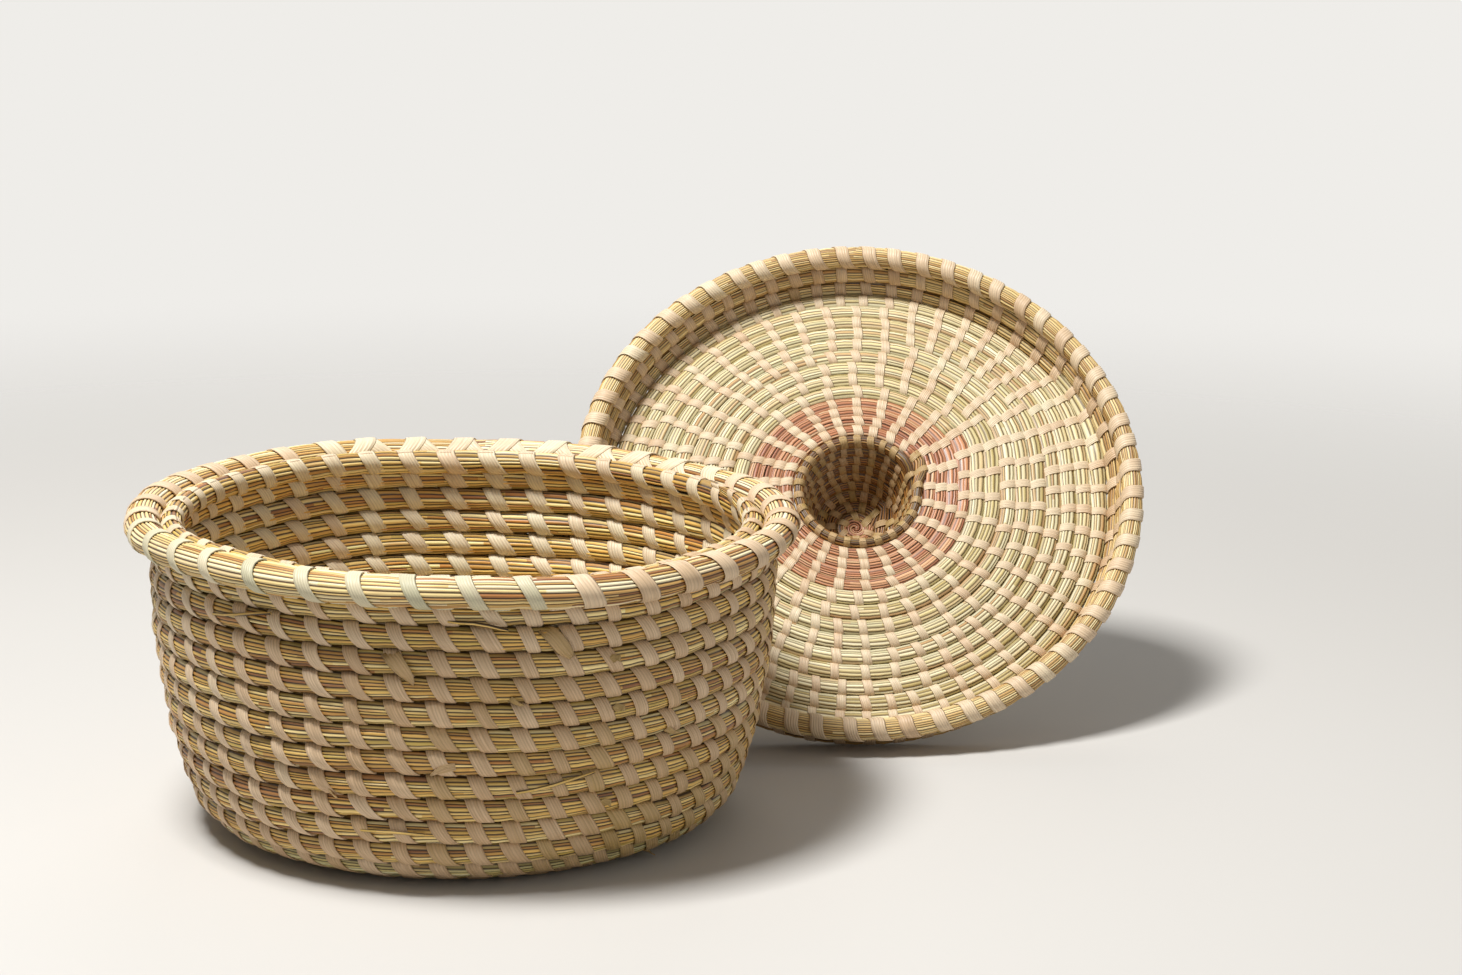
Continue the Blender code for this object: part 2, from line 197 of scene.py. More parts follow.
def lidRows():
    s = lidCoils
    wound = s["rimBundle"] + strip["clearance"] + strip["thickness"]
    flangePitch = 2 * s["flangeBundle"] + s["rowGap"]
    rimPitch = s["flangeBundle"] + strip["touch"] + wound
    edgeDepth = ((s["flangeRows"] - 1) * flangePitch + rimPitch) * math.sin(s["flangeAngle"])
    outline = arcOutline(s["endRadius"], s["cornerRadius"], s["wallAngle"], None)
    first = s["knot"] + s["rowGap"] + s["knobBundle"]
    knob = [outline(first + k * (2 * s["knobBundle"] + s["rowGap"])) for k in range(s["knobRows"])]
    drop = s["holeDepth"] + knob[-1][1]
    rows = [(radius, height - drop, s["knobBundle"], slope) for radius, height, slope in knob]
    hole = rows[-1][0]
    bundles = [s["pineBundle"]] * s["pineRows"] + [s["discBundle"]] * s["discRows"]
    radii = [hole]
    last = s["knobBundle"] + s["mouthGap"] - s["rowGap"]
    for bundle in bundles + [s["flangeBundle"]]:
        radii.append(radii[-1] + last + bundle + s["rowGap"])
        last = bundle
    edge = radii.pop()
    dish = edgeDepth - s["holeDepth"]
    spread = radii[-1] ** 2 - hole**2
    for radius, bundle in zip(radii[1:], bundles):
        height = -s["holeDepth"] - dish * (radius**2 - hole**2) / spread
        rows.append((radius, height, bundle, -math.atan(2 * dish * radius / spread)))
    for k in range(s["flangeRows"]):
        along = k * flangePitch + s["flangeShifts"][k]
        radius = edge + along * math.cos(s["flangeAngle"])
        height = along * math.sin(s["flangeAngle"]) - edgeDepth
        rows.append((radius, height, s["flangeBundle"], s["flangeAngle"]))
    rim = edge + ((s["flangeRows"] - 1) * flangePitch + rimPitch) * math.cos(s["flangeAngle"])
    return rows, (rim, 0.0, s["rimBundle"], math.pi / 2)


basketRow, basketRim = basketRows()
lidRow, lidRim = lidRows()
topRow = len(basketRow) - 1
pineFirst = lidCoils["knobRows"]
discFirst = pineFirst + lidCoils["pineRows"]
flangeFirst = discFirst + lidCoils["discRows"]
basketPlace = Matrix.Identity(4)
lidPlace = Matrix.Translation(lidCoils["stand"]) @ Matrix.Rotation(lidCoils["tip"], 4, "X")
basketShares = [0.5] * len(basketRow)  # of the step to the next row, done halfway along it
lidShares = [0.25] * (pineFirst - 1) + [0.5] * (flangeFirst - pineFirst + 1)
lidShares += [0.75] * lidCoils["flangeRows"]


def coilTurns(rows, first, last, halfShares, spacing):  # each turn runs level, then steps to the next row
    places = []
    for k in range(first, last):
        count = max(fewestPoints, round(math.tau * rows[k][0] / spacing))
        here = np.array(rows[k])
        for j in range(count):
            t = (j / count - 1 + stepShare) / stepShare
            if t <= 0:
                places.append((k + j / count, *here))
                continue
            share = (t * t * (3 - 2 * t)) ** (math.log(halfShares[k]) / math.log(0.5))
            if k + 1 < len(rows):
                places.append((k + j / count, *(here + (np.array(rows[k + 1]) - here) * share)))
                continue
            climb = here[:2] - np.array(rows[k - 1])[:2]  # the last turn thins out above the step below it
            length = np.hypot(*climb)
            thin = here[2] - length * share / 2
            if thin > strip["thickness"]:
                lift = climb / length * (here[2] - thin)
                places.append((k + j / count, here[0] + lift[0], here[1] + lift[1], thin, here[3]))
    if last < len(rows):
        places.append((float(last), *rows[last]))
    return np.array(places)


def rimTurns(row, spacing):
    count = round(math.tau * row[0] / spacing)
    return np.array([(j / count, *row) for j in range(count + 1)])


knotWinding = {
    "points": 60,
    "eye": 0.12,  # of the knot's radius
    "basket": (1.7, 0.0015),  # turns, and the bundle's radius in the eye in metres
    "lid": (1.6, 0.0009),
}


def knotTurns(row, knot, turns, thin):  # the first turns wind out of the middle, growing from a few stems
    t = np.linspace(0, 1, knotWinding["points"], endpoint=False)
    eye = knot * knotWinding["eye"]
    radius, bundle = eye + (row[0] - eye) * t, thin + (row[2] - thin) * t
    return np.stack([(t - 1) * turns, radius, np.full(len(t), row[1]), bundle, 0 * t], 1)


handWork = {  # the rows of hand work wave together, amplitudes in metres
    "rise": ((3, 0.6, 9, 0.00045), (7, 2.1, -31, 0.0003)),
    "out": ((2, 0.9, 0, 0.0004), (5, 4.0, 40, 0.00025)),
    "thickness": ((5, 1.0, 260, 0.06), (11, 2.0, 410, 0.045)),  # as a share of the bundle
    "lidShare": 0.4,  # of the thickness waves, on the lid's finer bundles
    "foot": 0.02,  # nothing waves at the ground, all of it from this height up
}


def waved(kind, around, height):
    total = 0
    for waves, start, climb, size in handWork[kind]:
        total = total + size * np.sin(waves * around + start + height * climb)
    return total * np.clip(np.abs(height) / handWork["foot"], 0, 1)


# middle of a bundle and the half axes of its section
def coilPath(places, azimuth, pressed, place, handMade):
    turn, radius, height, bundle, slope = places.T
    around = azimuth + math.tau * turn
    outwards = np.stack([np.cos(around), np.sin(around), np.zeros_like(around)], 1)
    up = np.array([0, 0, 1.0])
    across = np.cos(slope)[:, None] * outwards + np.sin(slope)[:, None] * up
    through = np.sin(slope)[:, None] * outwards - np.cos(slope)[:, None] * up
    middle = radius[:, None] * outwards + height[:, None] * up
    deep = bundle.copy()
    step = (turn + stepShare / 2) % 1
    swell = 1 + stepSwell * np.exp(-((np.minimum(step, 1 - step) / stepShare * 2) ** 2))
    if not handMade:
        deep *= 1 + waved("thickness", around, height) * handWork["lidShare"]
    else:
        middle += across * waved("rise", around, height)[:, None]
        middle += through * waved("out", around, height)[:, None]
        standing = np.clip(np.abs(slope) / basketCoils["standing"], 0, 1)
        deep *= basketCoils["flat"] + (1 - basketCoils["flat"]) * standing
        deep *= 1 + waved("thickness", around, height)
        lower = basketCoils["rimDrop"] * middle[:, 0] / basketRim[0] * middle[:, 2] / basketRim[1]
        middle[:, 2] -= lower
    grid = np.array(place)
    middle = middle @ grid[:3, :3].T + grid[:3, 3]
    steps = np.linalg.norm(np.diff(middle, axis=0), axis=1)
    return {
        "turn": turn,
        "middle": middle,
        "across": across @ grid[:3, :3].T,
        "through": through @ grid[:3, :3].T,
        "wide": bundle + pressed * swell,
        "deep": deep,
        "along": np.concatenate([[0], np.cumsum(steps)]),
    }


def frameAt(path, turns):  # the path's values at the given turns
    found = {}
    for name in ("middle", "across", "through"):
        found[name] = np.stack([np.interp(turns, path["turn"], path[name][:, i]) for i in range(3)], 1)
    for name in ("wide", "deep"):
        found[name] = np.interp(turns, path["turn"], path[name])
    return found


def setInputs(modifier, values):  # by each socket's identifier
    for item in modifier.node_group.interface.items_tree:
        if item.in_out == "INPUT" and item.name in values:
            modifier[item.identifier] = values[item.name]


def faceOut(mesh):
    mesh.calc_loop_triangles()
    points = np.empty(len(mesh.vertices) * 3, np.float32)
    mesh.vertices.foreach_get("co", points)
    points = points.reshape(-1, 3).astype(float)
    points -= points.mean(0)
    faces = np.empty(len(mesh.loop_triangles) * 3, np.int32)
    mesh.loop_triangles.foreach_get("vertices", faces)
    corner = points[faces.reshape(-1, 3)]
    if np.einsum("ij,ij->i", corner[:, 0], np.cross(corner[:, 1], corner[:, 2])).sum() < 0:
        mesh.flip_normals()


def plainMesh(made, tree, values):  # runs the tree once and keeps its result as a plain mesh
    modifier = made.modifiers.new("shape", "NODES")
    modifier.node_group = tree
    setInputs(modifier, values)
    bpy.context.view_layer.update()
    graph = bpy.context.evaluated_depsgraph_get()
    shaped = made.evaluated_get(graph)
    mesh = bpy.data.meshes.new_from_object(shaped, preserve_all_data_layers=True, depsgraph=graph)
    made.modifiers.remove(modifier)
    old = made.data
    made.data = mesh
    bpy.data.meshes.remove(old)
    for layer in bundleAttributes:
        if layer in mesh.attributes:
            mesh.attributes.remove(mesh.attributes[layer])
    faceOut(mesh)
    print(made.name, len(mesh.loop_triangles), "triangles")


def handOver(made, look, nodes):  # hides the solids that a finished piece stands for, and hangs it on its body
    if nodes:
        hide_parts(*nodes)
    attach(made, look["body"])


# Geometry Nodes: a bundle of stems laid along a path

bundleInputs = {
    "Geometry": "NodeSocketGeometry",
    "Profile": "NodeSocketObject",
    **dict.fromkeys(("Groove depth", "Unevenness", "Drift", "Squeeze", "Seed"), "NodeSocketFloat"),
    "Material": "NodeSocketMaterial",
}

bundleAttributes = {
    **dict.fromkeys(("middle", "across", "through"), "FLOAT_VECTOR"),
    **dict.fromkeys(("along", "full", "pressed", "angle", "lobe", "strand"), "FLOAT"),
}

# waves a metre along the bundle, and steps of the noise from stem to stem
stemWaves = {"drift": 14.0, "spread": 0.8, "unevenness": 33.0, "stemStep": 7.31}
sewnWithin = 1e-6  # metres; the seam of the tube is closed


def newTree(name, inputs):
    tree = bpy.data.node_groups.new(name, "GeometryNodeTree")
    for label, kind in inputs.items():
        tree.interface.new_socket(name=label, in_out="INPUT", socket_type=kind)
    tree.interface.new_socket(name="Geometry", in_out="OUTPUT", socket_type="NodeSocketGeometry")
    return tree


def finishTree(tree, shape, material):
    smooth = node(tree, "GeometryNodeSetShadeSmooth", {"Geometry": shape})
    whole = node(tree, "GeometryNodeRealizeInstances", {"Geometry": smooth})
    finished = node(tree, "GeometryNodeSetMaterial", {"Geometry": whole, "Material": material})
    node(tree, "NodeGroupOutput", {"Geometry": finished}, None)
    return tree


def bundleTree():
    tree = newTree("layStemsAlongPath", bundleInputs)
    given = node(tree, "NodeGroupInput", out=None).outputs
    read = {}
    for name, kind in bundleAttributes.items():
        read[name] = node(tree, "GeometryNodeInputNamedAttribute", {"Name": name}, data_type=kind)
    seed, along, full = given["Seed"], read["along"], read["full"]

    line = node(tree, "GeometryNodeMeshToCurve", {"Mesh": given["Geometry"]})
    ring = node(tree, "GeometryNodeObjectInfo", {"Object": given["Profile"]}, "Geometry")
    ring = node(tree, "GeometryNodeMeshToCurve", {"Mesh": ring})
    tube = node(tree, "GeometryNodeCurveToMesh", {"Curve": line, "Profile Curve": ring})

    # the stems drift round the bundle, near ones together
    slow = node(tree, "ShaderNodeMath", (along, stemWaves["drift"]), operation="MULTIPLY")
    side = node(tree, "ShaderNodeMath", (read["angle"], stemWaves["spread"]), operation="MULTIPLY")
    spot = node(tree, "ShaderNodeCombineXYZ", (slow, side, seed))
    drift = node(tree, "ShaderNodeTexNoise", {"Vector": spot, "Scale": 1.0, "Detail": 1.0})
    drift = node(tree, "ShaderNodeMapRange", (drift, 0.0, 1.0, -0.5, 0.5))
    drift = node(tree, "ShaderNodeMath", (drift, full), operation="MULTIPLY")
    turned = (drift, given["Drift"], read["angle"])
    angle = node(tree, "ShaderNodeMath", turned, operation="MULTIPLY_ADD")

    # each stem rises and sinks by itself, and all of them are pressed in under a stitch
    stem = node(tree, "ShaderNodeMath", (read["strand"],), operation="FLOOR")
    stepped = (stem, stemWaves["stemStep"], seed)
    stem = node(tree, "ShaderNodeMath", stepped, operation="MULTIPLY_ADD")
    run = node(tree, "ShaderNodeMath", (along, stemWaves["unevenness"]), operation="MULTIPLY")
    spot = node(tree, "ShaderNodeCombineXYZ", (stem, run))
    level = node(tree, "ShaderNodeTexNoise", {"Vector": spot, "Scale": 1.0, "Detail": 0.0})
    level = node(tree, "ShaderNodeMapRange", (level, 0.0, 1.0, -0.5, 0.5))
    grown = (level, given["Unevenness"], given["Groove depth"])
    level = node(tree, "ShaderNodeMath", grown, operation="MULTIPLY_ADD")
    level = node(tree, "ShaderNodeMath", (level, read["lobe"]), operation="MULTIPLY")
    sunk = (read["pressed"], given["Squeeze"], given["Groove depth"])
    sunk = node(tree, "ShaderNodeMath", sunk, operation="MULTIPLY_ADD")
    lift = node(tree, "ShaderNodeMath", (level, sunk), operation="SUBTRACT")
    lift = node(tree, "ShaderNodeMath", (lift, full), operation="MULTIPLY")

    cosine = node(tree, "ShaderNodeMath", (angle,), operation="COSINE")
    sine = node(tree, "ShaderNodeMath", (angle,), operation="SINE")
    reach = node(tree, "ShaderNodeVectorMath", {0: read["through"], "Scale": cosine}, operation="SCALE")
    sideways = (read["across"], sine, reach)
    reach = node(tree, "ShaderNodeVectorMath", sideways, operation="MULTIPLY_ADD")
    raised = node(tree, "ShaderNodeVectorMath", (reach,), operation="NORMALIZE")
    raised = node(tree, "ShaderNodeVectorMath", (raised, lift, reach), operation="MULTIPLY_ADD")
    place = node(tree, "ShaderNodeVectorMath", (raised, read["middle"]), operation="ADD")
    shaped = node(tree, "GeometryNodeSetPosition", {"Geometry": tube, "Position": place})

    millimetres = node(tree, "ShaderNodeMath", (along, 1000.0), operation="MULTIPLY")
    layout = node(tree, "ShaderNodeCombineXYZ", (read["strand"], millimetres))
    kept = {"Geometry": shaped, "Name": "stemMap", "Value": layout}
    mapped = node(tree, "GeometryNodeStoreNamedAttribute", kept, data_type="FLOAT2", domain="CORNER")
    beside = node(tree, "ShaderNodeMath", (read["angle"],), operation="SINE")
    beside = node(tree, "ShaderNodeMath", (beside,), operation="ABSOLUTE")
    kept = {"Geometry": mapped, "Name": "beside", "Value": beside}
    mapped = node(tree, "GeometryNodeStoreNamedAttribute", kept, data_type="FLOAT")
    sewn = node(tree, "GeometryNodeMergeByDistance", {"Geometry": mapped, "Distance": sewnWithin})
    return finishTree(tree, sewn, given["Material"])


layStems = bundleTree()
# section of a stem: share of its width, share of its rise
lobeShape = ((0.02, 0.0), (0.28, 0.84), (0.5, 1.0), (0.72, 0.84))
stemWidths = (0.7, 1.4)  # of the mean
plainArc = {"step": 25, "first": 0.02, "span": 0.96}  # degrees, and shares of a strand


# arcs of (first degree, last degree, stems); an arc of no stems is plain
def stemProfile(name, arcs, seed):
    chance = np.random.default_rng(seed)
    angles, lobes, strands = [], [], []
    strand = 0
    for first, last, stems in arcs:
        if stems == 0:
            count = max(2, round((last - first) / plainArc["step"]))
            for j in range(count):
                angles.append(first + (last - first) * j / count)
                lobes.append(1.0)
                strands.append(strand + plainArc["first"] + plainArc["span"] * j / count)
            strand += 1
            continue
        widths = chance.uniform(*stemWidths, stems)
        edges = first + (last - first) * np.concatenate([[0], np.cumsum(widths)]) / widths.sum()
        for low, high in zip(edges, edges[1:]):
            for share, lobe in lobeShape:
                angles.append(low + (high - low) * share)
                lobes.append(lobe)
                strands.append(strand + share)
            strand += 1
    angles.append(angles[0] + 360)
    lobes.append(lobes[0])
    strands.append(strand - 0.001)  # still the last strand's
    count = len(angles)
    points = [(k / 1000, 0, 0) for k in range(count)]  # they get their places from the tree
    mesh = meshFrom(name, points, [(k, k + 1) for k in range(count - 1)])
    for layer, given in (("angle", np.radians(angles)), ("lobe", lobes), ("strand", strands)):
        giveAttribute(mesh, layer, bundleAttributes[layer], given)
    made = newObject(name, mesh)
    made.hide_render = True
    return made


bundleTip = {"reach": 0.2, "size": 1e-7, "run": 0.0004}  # reach is a share of the last step


def bundlePiece(name, path, look, seed, stitches, *nodes):
    middle, across, through = path["middle"], path["across"], path["through"]
    wide, deep, along = path["wide"], path["deep"], path["along"]
    full = np.ones(len(middle))
    where = np.interp(stitches, path["turn"], along)
    pressed = np.exp(-((np.abs(along[:, None] - where[None]).min(1) / look["pressLength"]) ** 2))
    if look["closed"]:  # nothing drifts where the ends meet
        full[0] = full[-1] = 0
    else:  # both ends run out in a point
        reach, size, run = bundleTip.values()
        before = middle[:1] - (middle[1:2] - middle[:1]) * reach
        after = middle[-1:] + (middle[-1:] - middle[-2:-1]) * reach
        middle = np.concatenate([before, middle, after])
        across, through = (np.concatenate([v[:1], v, v[-1:]]) for v in (across, through))
        wide, deep = (np.concatenate([[size], v, [size]]) for v in (wide, deep))
        full, pressed = (np.concatenate([[0], v, [0]]) for v in (full, pressed))
        along = np.concatenate([along[:1] - run, along, along[-1:] + run])
    count = len(middle)
    mesh = meshFrom(name, middle, [(k, k + 1) for k in range(count - 1)])
    values = (middle, across * wide[:, None], through * deep[:, None], along, full, pressed)
    for layer, given in zip(("middle", "across", "through", "along", "full", "pressed"), values):
        giveAttribute(mesh, layer, bundleAttributes[layer], given)
    made = newObject(name, mesh)
    values = {
        "Profile": look["profile"],
        "Groove depth": look["groove"],
        "Unevenness": look["uneven"],
        "Drift": look["drift"],
        "Squeeze": look["squeeze"],
        "Seed": float(seed),
        "Material": look["material"],
    }
    plainMesh(made, layStems, values)
    handOver(made, look, nodes)


# Geometry Nodes: leaf stitches and loose ends set on a bundle


def stitchTree():
    inputs = {"Geometry": "Geometry", "Stitches": "Collection", "Material": "Material"}
    tree = newTree("setStitches", {label: "NodeSocket" + kind for label, kind in inputs.items()})
    given = node(tree, "NodeGroupInput", out=None).outputs
    read = {}
    for name, kind in (("turned", "FLOAT_VECTOR"), ("shape", "INT"), ("size", "FLOAT_VECTOR")):
        read[name] = node(tree, "GeometryNodeInputNamedAttribute", {"Name": name}, data_type=kind)
    chosen = {"Collection": given["Stitches"], "Separate Children": True, "Reset Children": True}
    placed = {
        "Points": given["Geometry"],
        "Instance": node(tree, "GeometryNodeCollectionInfo", chosen),
        "Pick Instance": True,
        "Instance Index": read["shape"],
        "Rotation": node(tree, "FunctionNodeEulerToRotation", {"Euler": read["turned"]}),
        "Scale": read["size"],
    }
    return finishTree(tree, node(tree, "GeometryNodeInstanceOnPoints", placed), given["Material"])


setStitches = stitchTree()

# section of a strip: share of its width, share of its thickness
leafEdge = ((0.0, 0.3), (0.1, 0.9), (0.5, 1.0), (0.9, 0.9), (1.0, 0.3), (0.9, -0.9), (0.1, -0.9))


def ribbonMesh(name, rings, layout, layer):  # rings of as many points, capped at both ends
    ring = len(rings[0])
    faces = []
    for i in range(len(rings) - 1):
        for j in range(ring):
            m = (j + 1) % ring
            faces.append((i * ring + j, i * ring + m, (i + 1) * ring + m, (i + 1) * ring + j))
    faces.append(tuple(range(ring))[::-1])
    faces.append(tuple((len(rings) - 1) * ring + j for j in range(ring)))
    mesh = meshFrom(name, [point for points in rings for point in points], (), faces)
    mapping = mesh.attributes.new(layer, "FLOAT2", "CORNER")
    for loop in mesh.loops:
        mapping.data[loop.index].vector = layout[loop.vertex_index]
    faceOut(mesh)
    return bpy.data.objects.new(name, mesh)


def stitchShape(name, s):  # x along the row in metres; y to the next row and z outwards in half bundles
    rings, layout = [], []
    for i in range(s["steps"] + 1):
        share = i / s["steps"]
        degrees = s["first"] + (s["last"] - s["first"]) * share
        angle = math.radians(degrees)
        fall = (1 - math.sin(angle)) / 2
        middle = (s["lean"] if degrees <= 90 else -s["innerLean"]) * fall ** s["bend"]
        width = np.interp(share, s["widthAt"], s["widths"])
        points = []
        for u, rise in leafEdge:
            out = 1 + s["lift"] + s["thickness"] * rise
            points.append((middle + width * (u - 0.5), math.sin(angle) * out, math.cos(angle) * out))
            layout.append((u, share * s["length"]))
        rings.append(points)
    return ribbonMesh(name, rings, layout, "leafMap")


def sliverShape(name, s):  # its points have x along the row in mm, y and z in half bundles
    half = basketCoils["bundle"]
    middle = [Vector((x / 1000, y * half, z * half)) for x, y, z in s["points"]]
    rings, layout = [], []
    length = 0.0
    for i, point in enumerate(middle):
        run = middle[min(i + 1, len(middle) - 1)] - middle[max(i - 1, 0)]
        out = Vector((0, point.y, point.z)).normalized()
        side = run.cross(out).normalized() * s["widths"][i]
        length += (point - middle[i - 1]).length * 1000 if i else 0
        points = []
        for u, rise in leafEdge:
            points.append(point + side * (u - 0.5) + out * s["thickness"] * rise)
            layout.append((s["strand"] + u, length))
        rings.append(points)
    return ribbonMesh(name, rings, layout, s["layer"])


def shapeCollection(name, makeShape, base, *changes):  # the base shape, once with each of the changes
    kept = bpy.data.collections.new(name)
    for k, change in enumerate(changes):
        kept.objects.link(makeShape(f"{name}{k}", dict(base, **change)))
    return kept


rowStitch = {
    "steps": 8,
    "first": 98,  # degrees round the bundle, from the side of the next row
    "last": -98,
    "lean": 0.0044,  # metres along the row, from its one side to the other
    "innerLean": 0.0,  # the same behind the bundle
    "bend": 1.0,  # 1 is a straight lean
    "widthAt": (0, 0.45, 0.8, 1),
    "widths": (0.0049, 0.0050, 0.0046, 0.0030),
    "lift": -0.01,  # this and the thickness in half bundles
    "thickness": 0.085,
    "length": 12,  # mm, for the grain of the leaf
}

rowStitches = shapeCollection(
    "rowStitch",
    stitchShape,
    rowStitch,
    dict(lean=0.0030),
    dict(lean=0.0037, widths=(0.0046, 0.0047, 0.0044, 0.0032), bend=1.1),
    dict(widths=(0.0051, 0.0053, 0.0051, 0.0040)),
    dict(lean=0.0050, widths=(0.0048, 0.0048, 0.0045, 0.0030), bend=1.15),
    dict(lean=0.0057, widths=(0.0050, 0.0051, 0.0047, 0.0028), bend=1.1),
)

lidStitches = shapeCollection(
    "lidStitch",
    stitchShape,
    dict(rowStitch, lift=-0.04, thickness=0.07),
    dict(lean=0.0006, widths=(0.0050, 0.0050, 0.0050, 0.0046)),
    dict(lean=0.0014, widths=(0.0050, 0.0046, 0.0050, 0.0044)),
    dict(lean=0.0022, widths=(0.0048, 0.0050, 0.0048, 0.0040)),
)

rimStitch = dict(  # once round the bundle
    rowStitch,
    steps=18,
    first=-96,
    last=264,
    lean=0.0048,
    innerLean=0.0052,
    widthAt=(0, 1),
    widths=(0.0062, 0.0062),
    lift=0.012,
    thickness=0.07,
    length=30,
)

rimStitches = shapeCollection(
    "rimStitch",
    stitchShape,
    rimStitch,
    dict(widths=(0.0044, 0.0046)),
    dict(widths=(0.0049, 0.0048), lean=0.0052),
    {},
    dict(widths=(0.0068, 0.0066), lean=0.0044),
    dict(widths=(0.0070, 0.0072), innerLean=0.0105),
)

crossStitches = shapeCollection(
    "crossStitch",
    stitchShape,
    rimStitch,
    dict(widths=(0.0068, 0.0070), lean=-0.0066, innerLean=-0.0105, lift=0.07),
)

leafEnd = {"thickness": 0.0002, "strand": 0, "layer": "leafMap", "widths": (0.0022, 0.0024, 0.0018, 0.0005)}

leafEnds = shapeCollection(
    "leafEnd",
    sliverShape,
    leafEnd,
    # two cut ends left standing, a strip that lies along its row, and one cut off over the row below
    dict(points=((0, -0.5, 0.86), (1.2, -0.75, 0.92), (2.6, -0.95, 1.12), (3.6, -0.9, 1.42))),
    dict(points=((0, 0.1, 1.0), (0.9, 0.35, 1.15), (1.9, 0.4, 1.42), (2.1, 0.1, 1.55))),
    dict(
        points=((0.5, 0.1, 1.0), (-2, 0.0, 1.08), (-4.4, -0.3, 1.1), (-6.2, -0.7, 0.95)),
        widths=(0.0022, 0.0026, 0.0020, 0.0005),
    ),
    dict(
        points=(
            (0, 0.95, 0.5), (1.6, 0.6, 0.95), (3.2, 0.05, 1.14),
            (4.7, -0.6, 1.06), (6.1, -1.15, 1.0), (7.2, -1.5, 1.14),
        ),
        widths=(0.0044, 0.0046, 0.0046, 0.0046, 0.0044, 0.0040),
    ),
)

looseStem = {"thickness": 0.0004, "strand": 3, "layer": "stemMap"}
looseStem["widths"] = (0.0008, 0.0009, 0.0009, 0.0009, 0.0008, 0.0004)
stemBends = (
    ((-9, 0.3, 0.9), (-5, 0.4, 1.1), (0, 0.5, 1.24), (4, 0.42, 1.2), (8, 0.25, 1.02), (9, 0.2, 0.9)),
    ((-7, -0.5, 0.8), (-4, -0.62, 0.98), (0, -0.7, 1.1), (4, -0.95, 1.08), (7, -1.2, 1.1), (9, -1.3, 1.2)),
    ((-10, 0, 0.98), (-5, 0.15, 1.06), (0, 0.4, 1.1), (5, 0.7, 1.02), (9, 0.9, 0.9), (12, 1.0, 0.7)),
)
looseStems = shapeCollection("looseStem", sliverShape, looseStem, *(dict(points=bend) for bend in stemBends))

sewing = {
    "start": 0.1,  # how unevenly the first row is sewn, as a share of its spacing
    "slip": 0.0003,  # metres, from one row to the next
    "choice": (0.9, 1.1),  # the widest gap isn't always the one that gets a new stitch
    "rounds": 8,
    "ease": 0.35,  # of the way to the middle between two neighbours, in each round
}


def sewnTurns(rows, counts, seed, drift):  # each row's stitches stand on those of the row before
    s = sewing
    chance = np.random.default_rng(seed)
    shares = (np.arange(counts[0]) + chance.uniform(-s["start"], s["start"], counts[0])) / counts[0]
    found = []
    for k, count in enumerate(counts):
        shares = shares + (drift + chance.normal(0, s["slip"], len(shares))) / (math.tau * rows[k][0])
        while len(shares) < count:  # new ones go into the widest gaps
            shares = np.sort(shares)
            ends = np.append(shares, shares[0] + 1)
            widest = int(np.argmax(np.diff(ends) * chance.uniform(*s["choice"], len(shares))))
            shares = np.append(shares, (ends[widest] + ends[widest + 1]) / 2)
        shares = np.sort(shares)
        for _ in range(s["rounds"]):  # and the others make room for them
            before = np.append(shares[-1] - 1, shares[:-1])
            after = np.append(shares[1:], shares[0] + 1)
            shares = shares + s["ease"] * ((before + after) / 2 - shares)
        found.append(k + np.sort(shares % 1))
    return found


def countsFor(rows, spacing):
    return [round(math.tau * row[0] / spacing) for row in rows]


def stitchPiece(name, path, turns, shapes, look, seed, *nodes, inside=False):
    chance = np.random.default_rng(seed)
    turns = turns[(turns >= path["turn"][0]) & (turns <= path["turn"][-1])]
    at = frameAt(path, turns)
    count = len(turns)
    turned = []
    for across, through in zip(at["across"], at["through"]):
        y = Vector(across).normalized()
        x = y.cross(Vector(through)).normalized()
        z = x.cross(y)
        if inside:
            x, z = -x, -z
        turned.append(tuple(Matrix((x, y, z)).transposed().to_euler()))
    azimuth = np.degrees(np.arctan2(at["middle"][:, 1], at["middle"][:, 0]))
    wide = chance.uniform(*look["widths"], count)
    tall = (at["wide"], at["deep"]) if look["fitted"] else (np.ones(count), np.ones(count))
    last = len(shapes.objects) - 1
    mesh = meshFrom(name, at["middle"])
    giveAttribute(mesh, "turned", "FLOAT_VECTOR", turned)
    giveAttribute(mesh, "size", "FLOAT_VECTOR", np.stack([wide, *tall], 1))
    giveAttribute(mesh, "shape", "INT", np.clip(np.round(look["shape"](azimuth, chance)), 0, last))
    tone = look["tone"](azimuth, at["middle"][:, 2]) + chance.normal(0, look["toneSpread"], count)
    giveAttribute(mesh, "leafTone", "FLOAT", np.clip(tone, 0, 1))
    giveAttribute(mesh, "leafSeed", "FLOAT", chance.uniform(0, 1, count))
    made = newObject(name, mesh)
    values = {"Stitches": shapes, "Material": look["material"]}
    plainMesh(made, setStitches, values)
    handOver(made, look, nodes)


# Materials

